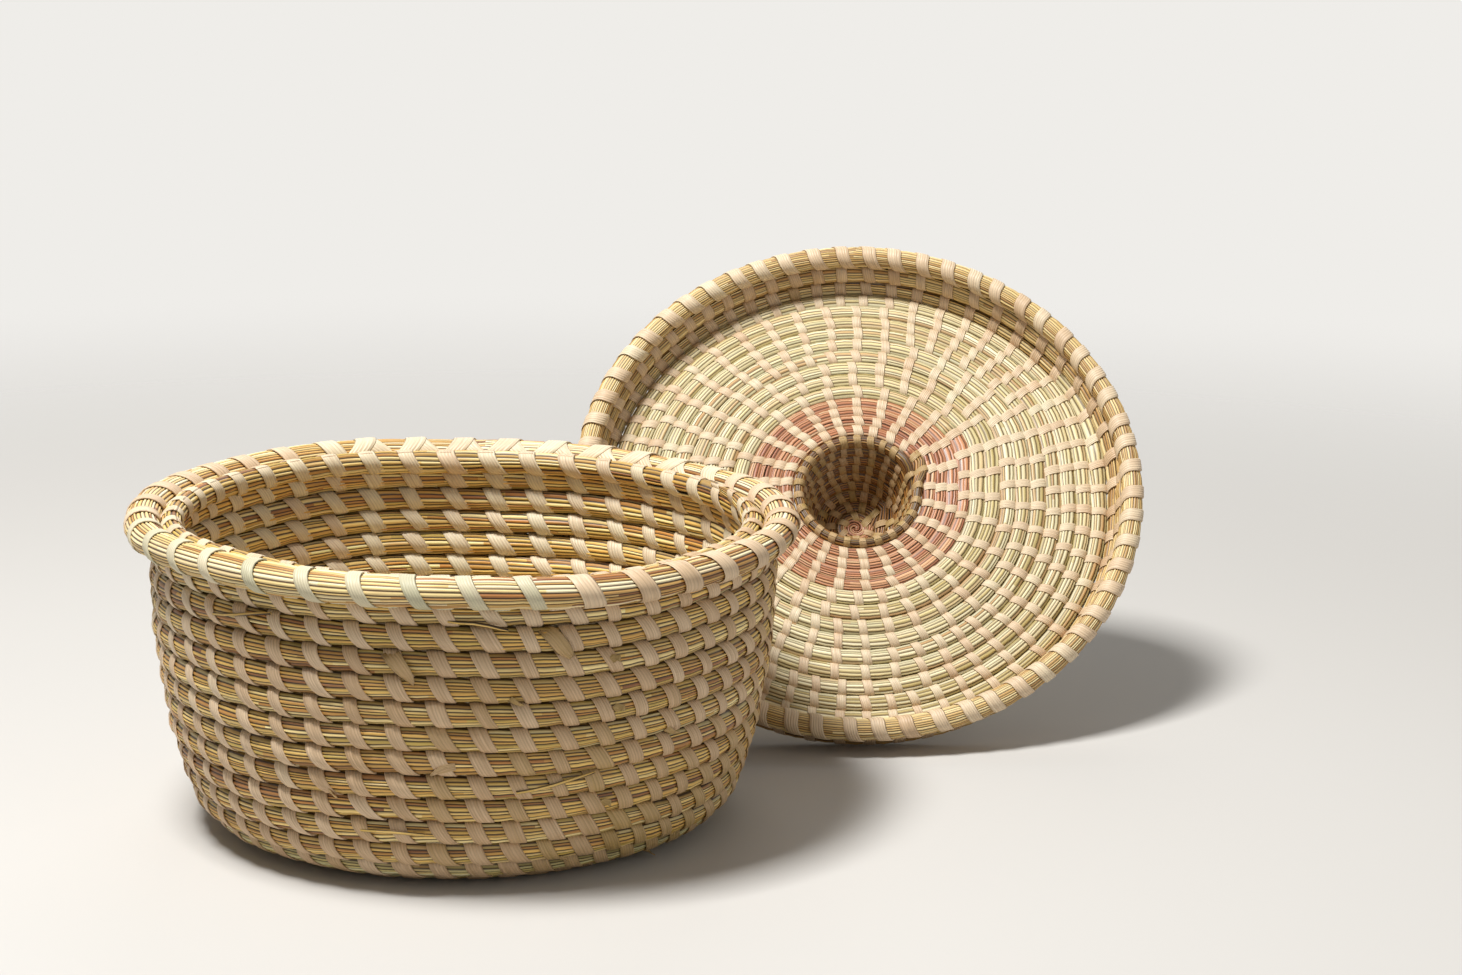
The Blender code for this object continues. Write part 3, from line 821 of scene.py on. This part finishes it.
sweetgrassLook = {  # warm gold, each stem with its own tint, some of it stained with rust
    "stops": (
        (0.0, "86562E"), (0.06, "B08040"), (0.22, "CEA352"), (0.42, "DCB868"), (0.6, "EBD699"),
        (0.74, "D5AF5E"), (0.88, "BCA152"), (0.96, "B97F3E"), (1.0, "8A5A32"),
    ),
    "stemLength": 60,  # mm from where a stem comes to the surface to where it sinks
    "handful": 110.0,  # mm along which near stems share a lean to one end of the tints
    "handfulLean": 0.18,
    # painted shade in the grooves between stems
    "groove": "2E1A0C",
    "grooveWidth": 0.24,  # of a stem, on either side
    "stainTint": "A85F20",  # rust brown patches, a centimetre or two long
    "stained": 0.4,
    "outerStrands": 7.5,  # the strands after these face into the basket
    "insidePaintedLight": 1.12,  # painted light on the side within the basket
    "rowFacePaintedLight": 1.06,  # painted light on the face of a row
    "rowSidePaintedShade": 0.5,  # painted shade at its sides, where the rows above and below meet it
    "roughness": 0.46,
}
topGrassLook = dict(sweetgrassLook, insidePaintedLight=1.0, rowSidePaintedShade=0.85)  # no painted light inside, and less painted shade at its sides: it is bare, with no row above it
# without painted light inside or on the faces of the rows
evenLook = dict(sweetgrassLook, insidePaintedLight=1.0, rowFacePaintedLight=1.0)

rimGrassLook = dict(  # boldly striped, from rust to nearly white
    evenLook,
    stops=(
        (0.0, "7C4C26"), (0.06, "B07E3C"), (0.22, "D2AC62"), (0.45, "E6CD8E"), (0.7, "F1E4BE"),
        (0.88, "D8B46C"), (0.96, "AE7438"), (1.0, "7C4826"),
    ),
    groove="4A2A12",
    stained=0.25,
    rowSidePaintedShade=1.0,
)
paleGrassLook = dict(  # straw and grey green, with little contrast
    evenLook,
    stops=(
        (0.0, "AE9A60"), (0.15, "C9B882"), (0.35, "D8C99A"), (0.55, "E4D8B2"), (0.7, "C6BD92"),
        (0.85, "D4BC8C"), (1.0, "BA9462"),
    ),
    groove="6B5530",
    grooveWidth=0.2,
    stained=0.12,
    rowSidePaintedShade=0.75,
)
edgeGrassLook = dict(  # fresher and greener than the wall above it
    sweetgrassLook,
    stops=(
        (0.0, "8C7A40"), (0.2, "BDA860"), (0.45, "D6C88E"), (0.7, "E6DFB4"), (0.85, "BFB472"),
        (1.0, "A9894A"),
    ),
    groove="3E2E14",
)
lidEdgeLook = dict(  # an even tan, as on a rim that is held often
    evenLook,
    stops=(
        (0.0, "A47C46"), (0.2, "C8A464"), (0.45, "DCBE80"), (0.7, "E8D29C"), (0.88, "CCAC68"),
        (1.0, "AC8248"),
    ),
    groove="5A4228",
    grooveWidth=0.2,
    stained=0.15,
    rowSidePaintedShade=1.0,
)
knobGrassLook = dict(  # darker brown: painted shade deep in the knob
    sweetgrassLook,
    stops=((0.0, "5C3818"), (0.3, "93652E"), (0.55, "B98A48"), (0.8, "A07C40"), (1.0, "6E4420")),
    insidePaintedLight=1.0,
)
pineLook = dict(  # reddish brown needles, a little glossier than grass
    evenLook,
    stops=(
        (0.0, "94593A"), (0.2, "B2754C"), (0.45, "C48C64"), (0.65, "D4AC80"), (0.8, "BE845C"),
        (1.0, "9E6240"),
    ),
    groove="5E3A22",
    grooveWidth=0.2,
    rowSidePaintedShade=0.7,
    stemLength=40,
    stained=0.0,
    roughness=0.42,
)

stemGrain = {  # the same on every grass and on the pine needle
    "stagger": 7.0,  # stem lengths, over which the places where stems end are spread
    "stretch": (3.7, 25.0, 0.0, 2.0),  # noises: steps from stem to stem, mm along it, shift, detail
    "stain": (0.45, 25.0, 5.0, 1.0),
    "fibre": (5.0, 12.0, 0.0, 2.0),  # a fifth of a stem wide
    "noiseReach": (0.3, 0.7),  # where most of a noise lies
    "stretchLight": (0.8, 1.12),
    "fibreLight": (0.9, 1.06),
    "stainEdge": (0.6, 0.7),
    "insideEdge": 0.1,  # strands
    "besideReach": (0.45, 0.95),  # sines round the bundle
    "crestReach": (0.12, 0.42),  # shares of a stem, from its side to its crest
    # painted shade at a stem's sides and a painted highlight on its crest
    "crestPaintedLight": (0.84, 1.2),
    "grooveFloor": 0.03,
    "roughSpread": (-0.1, 0.12),
    "bump": {"Strength": 0.4, "Distance": 0.0001},
}


def newMaterial(name):
    material = bpy.data.materials.new(name)
    material.use_nodes = True
    return material, material.node_tree, material.node_tree.nodes["Principled BSDF"]


# a colour times a light, which goes from one value to another as the given value crosses its reach
def lit(tree, colour, value, reach, lights, **settings):
    light = node(tree, "ShaderNodeMapRange", (value, *reach, *lights), **settings)
    tinted = {0: 1.0, 6: colour, 7: light}
    return node(tree, "ShaderNodeMix", tinted, 2, data_type="RGBA", blend_type="MULTIPLY")


# dried grass: dull gold to rust stems, each with its own tint, dark between them
def stemMaterial(name, look, seed):
    s = dict(look, **stemGrain)
    material, tree, shader = newMaterial(name)
    place = node(tree, "ShaderNodeUVMap", uv_map="stemMap")
    split = node(tree, "ShaderNodeSeparateXYZ", (place,), None).outputs
    strand, along = split[0], split[1]
    stem = node(tree, "ShaderNodeMath", (strand,), operation="FLOOR")
    across = node(tree, "ShaderNodeMath", (strand,), operation="FRACT")
    noise = {}
    for label, source in (("stretch", stem), ("stain", stem), ("fibre", strand)):
        steps, length, shift, detail = s[label]
        side = node(tree, "ShaderNodeMath", (source, steps), operation="MULTIPLY")
        run = node(tree, "ShaderNodeMath", (along, length), operation="DIVIDE")
        spot = node(tree, "ShaderNodeCombineXYZ", (side, run, seed + shift))
        noise[label] = node(tree, "ShaderNodeTexNoise", {"Vector": spot, "Scale": 1.0, "Detail": detail})

    # a stem keeps its tint for a few centimetres, then another takes its place; whole handfuls
    # of them, a decimetre long, lean to one end of the tints
    spot = node(tree, "ShaderNodeCombineXYZ", (stem, seed))
    start = node(tree, "ShaderNodeTexWhiteNoise", {"Vector": spot}, noise_dimensions="3D")
    laps = node(tree, "ShaderNodeMath", (along, s["stemLength"]), operation="DIVIDE")
    laps = node(tree, "ShaderNodeMath", (start, s["stagger"], laps), operation="MULTIPLY_ADD")
    laps = node(tree, "ShaderNodeMath", (laps,), operation="FLOOR")
    spot = node(tree, "ShaderNodeCombineXYZ", (stem, laps, seed))
    pick = node(tree, "ShaderNodeTexWhiteNoise", {"Vector": spot}, noise_dimensions="3D")
    patch = node(tree, "ShaderNodeMath", (along, s["handful"]), operation="DIVIDE")
    spot = node(tree, "ShaderNodeCombineXYZ", (patch, seed))
    patch = node(tree, "ShaderNodeTexNoise", {"Vector": spot, "Scale": 1.0, "Detail": 0.0})
    patch = node(tree, "ShaderNodeMapRange", (patch, 0.0, 1.0, -s["handfulLean"], s["handfulLean"]))
    pick = node(tree, "ShaderNodeMath", (pick, patch), operation="ADD")
    pick = node(tree, "ShaderNodeMath", (pick, 1.0), operation="PINGPONG")
    colour = node(tree, "ShaderNodeValToRGB", (pick,), stops=s["stops"])

    # light and dark stretches along each stem, rust stains, and painted light on the side within the basket
    colour = lit(tree, colour, noise["stretch"], s["noiseReach"], s["stretchLight"])
    stain = node(tree, "ShaderNodeMapRange", (noise["stain"], *s["stainEdge"], 0.0, s["stained"]))
    tinted = {0: stain, 6: colour, 7: linear(s["stainTint"])}
    colour = node(tree, "ShaderNodeMix", tinted, 2, data_type="RGBA")
    reach = (s["outerStrands"] - s["insideEdge"], s["outerStrands"] + s["insideEdge"])
    colour = lit(tree, colour, strand, reach, (1.0, s["insidePaintedLight"]))

    # fine fibres; painted shade on the sides of a row, next to the rows above and below it, and painted
    # light on its face
    soft = {"interpolation_type": "SMOOTHSTEP"}
    colour = lit(tree, colour, noise["fibre"], s["noiseReach"], s["fibreLight"])
    beside = node(tree, "ShaderNodeAttribute", out="Fac", attribute_name="beside")
    colour = lit(tree, colour, beside, s["besideReach"], (s["rowFacePaintedLight"], s["rowSidePaintedShade"]), **soft)

    # painted shade in the grooves between stems and at the sides of each stem, and a painted highlight on
    # each crest
    ridge = node(tree, "ShaderNodeMath", (across, 0.5), operation="PINGPONG")
    colour = lit(tree, colour, ridge, s["crestReach"], s["crestPaintedLight"], **soft)
    clear = node(tree, "ShaderNodeMapRange", (ridge, s["grooveFloor"], s["grooveWidth"]), **soft)
    tinted = {0: clear, 6: linear(s["groove"]), 7: colour}
    colour = node(tree, "ShaderNodeMix", tinted, 2, data_type="RGBA", clamp_result=True)
    tree.links.new(colour, shader.inputs["Base Color"])
    rough = [s["roughness"] + more for more in s["roughSpread"]]
    rough = node(tree, "ShaderNodeMapRange", (noise["fibre"], *s["noiseReach"], *rough))
    tree.links.new(rough, shader.inputs["Roughness"])
    bump = node(tree, "ShaderNodeBump", {"Height": noise["fibre"], **s["bump"]})
    tree.links.new(bump, shader.inputs["Normal"])
    return material


palmettoLook = {
    "stops": (  # by a strip's tone: brown and dry, tan, pinkish beige, cream, greenish cream
        (0.0, "86653C"), (0.2, "B3955A"), (0.4, "C8A780"), (0.6, "DDC2A0"), (0.8, "E4D5B4"),
        (1.0, "C6C0A0"),
    ),
    "streaks": 9.0,  # across one strip
    "streakLength": 16.0,  # mm
    "streakTone": 0.14,  # by which a streak shifts the strip's tone
    "streakReach": (0.3, 0.7),
    "streakLight": (0.88, 1.06),
    "ribs": 5.5,  # across one strip, near 1 mm apart
    "ribWander": 0.08,  # of the strip's width
    "ribReach": (-1.0, -0.2),  # sines across the ribs
    "ribLight": (0.84, 1.0),
    "seedStep": 57.0,  # from one strip's noise to the next strip's
    "roughness": 0.5,
    "bump": {"Strength": 0.5, "Distance": 0.0001},
}


def leafMaterial(name, s):  # split palm leaf: flat, satin, with fine straight ribs along the strip
    material, tree, shader = newMaterial(name)
    place = node(tree, "ShaderNodeUVMap", uv_map="leafMap")
    split = node(tree, "ShaderNodeSeparateXYZ", (place,), None).outputs
    across, along = split[0], split[1]
    tone = node(tree, "ShaderNodeAttribute", out="Fac", attribute_name="leafTone")
    seed = node(tree, "ShaderNodeAttribute", out="Fac", attribute_name="leafSeed")
    fine = node(tree, "ShaderNodeMath", (across, s["streaks"]), operation="MULTIPLY")
    long = node(tree, "ShaderNodeMath", (along, s["streakLength"]), operation="DIVIDE")
    far = node(tree, "ShaderNodeMath", (seed, s["seedStep"]), operation="MULTIPLY")
    spot = node(tree, "ShaderNodeCombineXYZ", (fine, long, far))
    streak = node(tree, "ShaderNodeTexNoise", {"Vector": spot, "Scale": 1.0, "Detail": 3.0})
    shifted = node(tree, "ShaderNodeMapRange", (streak, 0.0, 1.0, -s["streakTone"], s["streakTone"]))
    tone = node(tree, "ShaderNodeMath", (tone, shifted), operation="ADD")
    colour = node(tree, "ShaderNodeValToRGB", (tone,), stops=s["stops"])
    colour = lit(tree, colour, streak, s["streakReach"], s["streakLight"])
    ribs = node(tree, "ShaderNodeMath", (streak, s["ribWander"], across), operation="MULTIPLY_ADD")
    ribs = node(tree, "ShaderNodeMath", (ribs, s["ribs"] * math.tau), operation="MULTIPLY")
    ribs = node(tree, "ShaderNodeMath", (ribs,), operation="SINE")
    colour = lit(tree, colour, ribs, s["ribReach"], s["ribLight"])
    tree.links.new(colour, shader.inputs["Base Color"])
    shader.inputs["Roughness"].default_value = s["roughness"]
    bump = node(tree, "ShaderNodeBump", {"Height": ribs, **s["bump"]})
    tree.links.new(bump, shader.inputs["Normal"])
    return material


goldenGrass = stemMaterial("driedSweetgrassGolden", sweetgrassLook, 3.0)
topGrass = stemMaterial("driedSweetgrassGoldenTop", topGrassLook, 3.0)
rimGrass = stemMaterial("driedSweetgrassStriped", rimGrassLook, 7.0)
paleGrass = stemMaterial("driedSweetgrassPale", paleGrassLook, 11.0)
edgeGrass = stemMaterial("driedSweetgrassGreenish", edgeGrassLook, 13.0)
lidEdgeGrass = stemMaterial("driedSweetgrassTan", lidEdgeLook, 19.0)
knobGrass = stemMaterial("driedSweetgrassBrown", knobGrassLook, 17.0)
pineNeedle = stemMaterial("longleafPineNeedle", pineLook, 23.0)
palmetto = leafMaterial("splitPalmettoLeaf", palmettoLook)
print("materials done")

# The basket


def twoFaces(stems):  # arcs of stems on the faces that show, plain ones where rows touch
    return ((-66, 66, stems), (66, 114, 0), (114, 246, stems), (246, 294, 0))


thickStems = {
    "profile": stemProfile("profileTwoSides", twoFaces(7), 4),
    "groove": 0.00045,  # metres deep, between stems
    "uneven": 0.0008,  # by which stems rise and sink
    "drift": 0.7,  # radians round the bundle
    "squeeze": 0.00042,  # under a stitch
    "pressLength": 0.0030,
    "closed": False,
    "material": goldenGrass,
    "body": "basket",
    "slot": "sweetgrass",
}
topStems = dict(
    thickStems,
    profile=stemProfile("profileAllRound", ((-180, 180, 18),), 5),
    material=topGrass,
)
rimStems = dict(
    thickStems,
    profile=stemProfile("profileRim", ((-180, 180, 26),), 6),
    groove=0.0004,
    uneven=0.0005,
    drift=0.25,
    closed=True,
    material=rimGrass,
)

basketPlan = {
    "paleRows": 2,  # the two lowest rows of the wall are still pale
    "cutRow": 15,  # the bundle of the wall is cut in two, for its count of triangles
    "pathStep": {"base": 0.0030, "wall": 0.0031, "rim": 0.0030},  # metres between a path's points
    "baseSpacing": 0.0095,  # metres between the stitches of a row
    "wallStitches": 44,  # in a row
    "rimStrips": 38,
    "rimUneven": 0.08,  # of their spacing
    "slip": 0.0005,  # metres, by which stitches stand past those of the row below
    "crossed": (39, 118),  # degrees; the rim's strip goes round a second time there and crosses itself
    "narrow": (-168, -75),  # degrees; the rim's strips are narrow, pale and greenish there
    "leaning": (36, 121),
    "light": (33, 123),
    "rimKinds": (0, 2, 4),  # of strips: the narrow ones, most of them and the leaning ones
    "rimChance": (-0.4, 1.2),  # by which the kind varies
    "rimTones": (0.93, 0.72, 0.55),  # of the narrow strips, the light ones and the others
    "shape": (2, 1.2, 0.8),  # kind of stitch, its swing round the wall, and its spread
    "tone": (0.48, 0.1, 0.05),  # tone of a stitch, its swing round the wall, and its blotches
    "toneClimb": 2.2,  # a metre, from the middle of the wall
    "middle": 0.05,
    "blotches": (3, 60),  # waves round the wall, and radians a metre up it
}


def basketPath(first, last, kind="wall", start=()):
    places = coilTurns(basketRow, first, last, basketShares, basketPlan["pathStep"][kind])
    places = np.concatenate([start, places]) if len(start) else places
    return coilPath(places, stepAzimuth, basketCoils["pressedTogether"], basketPlace, True)


def stripTurns(count, uneven, seed):
    return (np.arange(count) + 0.5 + np.random.default_rng(seed).uniform(-uneven, uneven, count)) / count


baseRows = basketCoils["baseRows"]
paleTop, cutRow = baseRows + basketPlan["paleRows"], basketPlan["cutRow"]
start = knotTurns(basketRow[0], basketCoils["knot"], *knotWinding["basket"])
basePath = basketPath(0, baseRows, "base", start)
wholePath = basketPath(0, topRow + 1)
tightRim = (basketRim[0] - basketCoils["rimSpread"], *basketRim[1:])
tightTurn = rimTurns(tightRim, basketPlan["pathStep"]["rim"])
rimPath = coilPath(tightTurn, rimAzimuth, 0.0, basketPlace, True)
rimPath["deep"] += basketCoils["rimSpread"]

counts = countsFor(basketRow[:baseRows], basketPlan["baseSpacing"])
counts += [basketPlan["wallStitches"]] * (topRow + 1 - baseRows)
basketTurns = sewnTurns(basketRow, counts, 12, basketPlan["slip"])
baseSewn = np.concatenate(basketTurns[:baseRows])
wallSewn = np.concatenate(basketTurns[baseRows:])
rimSewn = stripTurns(basketPlan["rimStrips"], basketPlan["rimUneven"], 2)

paleStems = dict(thickStems, material=paleGrass, slot="sweetgrass_pale")
edgeStems = dict(paleStems, material=edgeGrass)
bundlePiece("baseBundle", basePath, paleStems, 1, baseSewn, "base_coil", "base_start_knot")
for name, first, last, stems, seed in (
    ("baseEdgeBundle", baseRows, paleTop, edgeStems, 6),
    ("lowerWallBundle", paleTop, cutRow, thickStems, 2),
    ("upperWallBundle", cutRow, topRow, thickStems, 3),
    ("topRowBundle", topRow, topRow + 1, topStems, 4),
):
    bundlePiece(name, basketPath(first, last), stems, seed, wallSewn, "wall_coil")
bundlePiece("basketRimBundle", rimPath, rimStems, 5, rimSewn, "basket_rim_coil")


def within(azimuth, name):
    first, last = basketPlan[name]
    return (azimuth > first) & (azimuth < last)


def wallShape(azimuth, chance):  # the stitches lean a little more at the left of the front
    kind, swing, spread = basketPlan["shape"]
    return kind - swing * np.sin(np.radians(azimuth + 90)) + chance.normal(0, spread, len(azimuth))


def rimShape(azimuth, chance):  # narrow strips at the front left, wide ones elsewhere
    narrow, usual, leaning = basketPlan["rimKinds"]
    kind = np.where(within(azimuth, "narrow"), narrow, usual)
    kind = kind + chance.uniform(*basketPlan["rimChance"], len(azimuth))
    return np.where(within(azimuth, "leaning"), leaning, kind)


def wallTone(azimuth, height):  # pinkish tan at the left, duller towards the right and the ground
    tone, swing, size = basketPlan["tone"]
    around, climb = basketPlan["blotches"]
    blotch = size * np.sin(np.radians(azimuth) * around + height * climb)
    rise = basketPlan["toneClimb"] * (height - basketPlan["middle"])
    return tone - swing * np.sin(np.radians(azimuth + 90)) + rise + blotch


def rimTone(azimuth, height):  # the strips at the front left are paler and greener
    pale, light, usual = basketPlan["rimTones"]
    return np.where(within(azimuth, "narrow"), pale, np.where(within(azimuth, "light"), light, usual))


def evenTone(tone):
    return lambda azimuth, height: np.full(len(azimuth), tone)


def oneShape(kind):
    return lambda azimuth, chance: np.full(len(azimuth), kind)


wallLook = {
    "widths": (0.88, 1.12),  # of the stitch's own width
    "fitted": True,  # as wide and deep as the bundle below it
    "shape": wallShape,
    "tone": wallTone,
    "toneSpread": 0.05,
    "material": palmetto,
    "body": "basket",
    "slot": "palmetto",
}
insideLook = dict(wallLook, widths=(1.05, 1.2), tone=evenTone(0.72))
baseLook = dict(wallLook, widths=(0.7, 0.9))
rimLook = dict(wallLook, widths=(0.95, 1.05), shape=rimShape, tone=rimTone, toneSpread=0.04)
crossLook = dict(rimLook, shape=oneShape(0))

stitchPiece("outerStitches", wholePath, wallSewn, rowStitches, wallLook, 31)
stitchPiece("innerStitches", wholePath, wallSewn, rowStitches, insideLook, 32, inside=True)
stitchPiece("baseUnderStitches", wholePath, baseSewn, rowStitches, baseLook, 33)
stitchPiece("baseOverStitches", wholePath, baseSewn, rowStitches, baseLook, 34, inside=True)
stitchPiece("basketRimStrips", rimPath, rimSewn, rimStitches, rimLook, 35, "basket_rim_binding")
crossFirst, crossLast = ((a - math.degrees(rimAzimuth)) / 360 % 1 for a in basketPlan["crossed"])
crossed = rimSewn[(rimSewn > crossFirst) | (rimSewn < crossLast)]
stitchPiece("basketRimCrossStrips", rimPath, crossed, crossStitches, crossLook, 36)

# loose ends where the photograph shows them: (row, degrees, kind)
leafEndPlaces = (
    (18, -99, 3), (19, -72, 3), (18, -60, 1), (16, -59, 1), (14, -88, 2), (10, -67, 0),
    (12, -60, 1), (9, -42, 0), (17, -78, 0), (15, -47, 0), (13, -112, 0),
)
looseStemPlaces = ((20, -84, 1), (19, -128, 2), (13, -70, 2), (11, -100, 0), (17, 60, 0), (14, 170, 1))


def loosePiece(name, places, shapes, seed, **changes):
    row, degrees, kinds = np.array(places).T
    turns = row + (degrees - math.degrees(stepAzimuth)) / 360 % 1
    look = dict(wallLook, widths=(0.95, 1.05), fitted=False, tone=evenTone(0.24), **changes)
    look["shape"] = lambda azimuth, chance: kinds
    stitchPiece(name, wholePath, turns, shapes, look, seed)


loosePiece("looseLeafEnds", leafEndPlaces, leafEnds, 41)
loosePiece("looseStems", looseStemPlaces, looseStems, 42, material=goldenGrass, slot="sweetgrass_pale")
print("basket done")

# The lid, leaning behind the basket with its open side to the viewer

fineStems = dict(
    thickStems,
    profile=stemProfile("profileFine", ((-180, 180, 13),), 7),
    groove=0.0003,
    uneven=0.0004,
    squeeze=0.00025,
    material=pineNeedle,
    body="lid",
    slot="pine_needle",
)
discStems = dict(
    fineStems,
    profile=stemProfile("profileFineSides", twoFaces(5), 8),
    material=paleGrass,
    slot="sweetgrass_pale",
)
lidPlan = {
    "knobSpacing": 0.0050,  # metres between the stitches of a row
    "pineStitches": [24, 25, 25, 26],  # in each row
    "discSpacing": 0.0088,
    "flangeStitches": 56,
    "rimStrips": 60,
    "rimUneven": 0.1,
    "pinePressed": 0.0009,
    "pathStep": dict(knob=0.0026, pine=0.0027, disc=0.0030, flange=0.0031, whole=0.0030, rim=0.0030),
}


def lidPath(first, last, kind, pressed=lidCoils["pressedTogether"]):
    places = coilTurns(lidRow, first, last, lidShares, lidPlan["pathStep"][kind])
    return coilPath(places, stepAzimuth, pressed, lidPlace, False)


start = knotTurns(lidRow[0], lidCoils["knot"], *knotWinding["lid"])
knobStartPath = coilPath(start, stepAzimuth, lidCoils["pressedTogether"], lidPlace, False)
knobPath = lidPath(0, pineFirst, "knob")
pinePath = lidPath(pineFirst, discFirst, "pine", lidPlan["pinePressed"])
discPath = lidPath(discFirst, flangeFirst, "disc")
flangePath = lidPath(flangeFirst, len(lidRow), "flange")
lidWhole = lidPath(0, len(lidRow), "whole")
lidRimTurn = rimTurns(lidRim, lidPlan["pathStep"]["rim"])
lidRimPath = coilPath(lidRimTurn, rimAzimuth, 0.0, lidPlace, False)

counts = countsFor(lidRow[:pineFirst], lidPlan["knobSpacing"]) + lidPlan["pineStitches"]
counts += countsFor(lidRow[discFirst:flangeFirst], lidPlan["discSpacing"])
counts += [lidPlan["flangeStitches"]] * lidCoils["flangeRows"]
lidTurns = sewnTurns(lidRow, counts, 15, 0.0)
edges = (0, pineFirst, discFirst, flangeFirst, len(lidRow))
knobSewn, pineSewn, discSewn, flangeSewn = (
    np.concatenate(lidTurns[first:last]) for first, last in zip(edges, edges[1:])
)
lidRimSewn = stripTurns(lidPlan["rimStrips"], lidPlan["rimUneven"], 3)

knobStems = dict(fineStems, material=knobGrass, slot="sweetgrass")
flangeStems = dict(thickStems, material=lidEdgeGrass, body="lid")
lidRimStems = dict(rimStems, groove=0.0003, uneven=0.0004, material=lidEdgeGrass, body="lid")
bundlePiece("knobStartBundle", knobStartPath, fineStems, 11, knobSewn, "knob_start_knot")
bundlePiece("knobBundle", knobPath, knobStems, 12, knobSewn, "knob_coil")
bundlePiece("pineNeedleBundle", pinePath, fineStems, 13, pineSewn, "pine_needle_coil")
bundlePiece("lidDiscBundle", discPath, discStems, 14, discSewn, "lid_disc_coil")
bundlePiece("lidFlangeBundle", flangePath, flangeStems, 15, flangeSewn, "lid_flange_coil")
bundlePiece("lidRimBundle", lidRimPath, lidRimStems, 16, lidRimSewn, "lid_rim_coil")

lidLook = dict(wallLook, body="lid")
lidLook["shape"] = lambda azimuth, chance: chance.uniform(-0.5, 2.5, len(azimuth))
seed = 50
for label, turns, width, tone in (
    # the knob's stitches get a darker tone: painted shade deep in the knob
    ("knob", knobSewn, 0.5, 0.3),
    ("pine", pineSewn, 0.64, 0.6),
    ("disc", discSewn, 0.62, 0.66),
    ("flange", flangeSewn, 0.8, 0.52),
):
    look = dict(lidLook, widths=(0.9 * width, 1.1 * width), tone=evenTone(tone))
    for side in ("Outer", "Inner"):
        name = label + side + "Stitches"
        stitchPiece(name, lidWhole, turns, lidStitches, look, seed, inside=side == "Inner")
        seed += 1
lidRimLook = dict(lidLook, widths=(0.7, 0.78), shape=oneShape(2), tone=evenTone(0.62))
stitchPiece("lidRimStrips", lidRimPath, lidRimSewn, rimStitches, lidRimLook, 61, "lid_rim_binding")
print("lid done")

# what the pieces were made from goes
for stems in (thickStems, topStems, rimStems, fineStems, discStems):
    bpy.data.objects.remove(stems["profile"], do_unlink=True)
for kept in (rowStitches, lidStitches, rimStitches, crossStitches, leafEnds, looseStems):
    for shape in list(kept.objects):
        bpy.data.objects.remove(shape, do_unlink=True)
    bpy.data.collections.remove(kept)

# Floor, light and camera

studio = {
    "floor": "C6C3BE",
    "floorReach": 4,  # metres to each side
    "floorRoughness": 0.9,
    "backdrop": "EFEDE9",
    "fade": (0.35, 1.0),  # metres from the origin, where the floor passes into the backdrop
    "ambient": 0.21,  # light from all round, as a share of the backdrop's
    "lamps": (  # name, place, size, watts
        ("keyLight", (-0.3, -0.26, 1.28), 0.32, 25.0),
        ("fillLight", (1.1, -0.9, 0.6), 0.9, 2.0),
        ("backLight", (0.1, 1.1, 0.9), 0.7, 3.0),
    ),
    "aim": (0.05, 0.03, 0.05),
    "camera": (0.0793, -0.9846, 0.315),
    "tilt": math.radians(12.352),
    "lens": 83.72,
    "sensor": 36,
    "nearest": 0.01,
}


def setStudio(s):
    reach = s["floorReach"]
    corners = [(x * reach, y * reach, 0) for x, y in ((-1, -1), (1, -1), (1, 1), (-1, 1))]
    floor = newObject("studioFloor", meshFrom("studioFloor", corners, (), [(0, 1, 2, 3)]))
    material, tree, shader = newMaterial("palePaperFloor")
    shader.inputs["Base Color"].default_value = linear(s["floor"])
    shader.inputs["Roughness"].default_value = s["floorRoughness"]
    place = node(tree, "ShaderNodeTexCoord", out="Object")
    away = node(tree, "ShaderNodeVectorMath", (place,), "Value", operation="LENGTH")
    away = node(tree, "ShaderNodeMapRange", (away, *s["fade"]), interpolation_type="SMOOTHSTEP")
    clear = node(tree, "ShaderNodeBsdfTransparent")
    mixed = node(tree, "ShaderNodeMixShader", (away, shader.outputs[0], clear))
    tree.links.new(mixed, tree.nodes["Material Output"].inputs["Surface"])
    floor.data.materials.append(material)

    world = bpy.data.worlds.new("studioWorld")
    bpy.context.scene.world = world
    world.use_nodes = True
    tree = world.node_tree
    back = tree.nodes["Background"]
    back.inputs["Color"].default_value = linear(s["backdrop"])
    path = node(tree, "ShaderNodeLightPath", out=None).outputs
    seen = (path["Is Camera Ray"], path["Is Glossy Ray"])
    seen = node(tree, "ShaderNodeMath", seen, operation="MAXIMUM")
    strength = node(tree, "ShaderNodeMapRange", {"Value": seen, "To Min": s["ambient"]})
    tree.links.new(strength, back.inputs["Strength"])

    for name, place, size, watts in s["lamps"]:
        lamp = bpy.data.lights.new(name, "AREA")
        lamp.size = size
        lamp.energy = watts
        made = newObject(name, lamp)
        made.location = place
        made.rotation_euler = (Vector(s["aim"]) - Vector(place)).to_track_quat("-Z", "Y").to_euler()
    camera = bpy.data.cameras.new("photoCamera")
    camera.lens = s["lens"]
    camera.sensor_width = s["sensor"]
    camera.clip_start = s["nearest"]
    made = newObject("photoCamera", camera)
    made.location = s["camera"]
    made.rotation_euler = (math.pi / 2 - s["tilt"], 0, 0)
    bpy.context.scene.camera = made
    bpy.context.scene.view_settings.view_transform = "Standard"


setStudio(studio)
print("studio done")
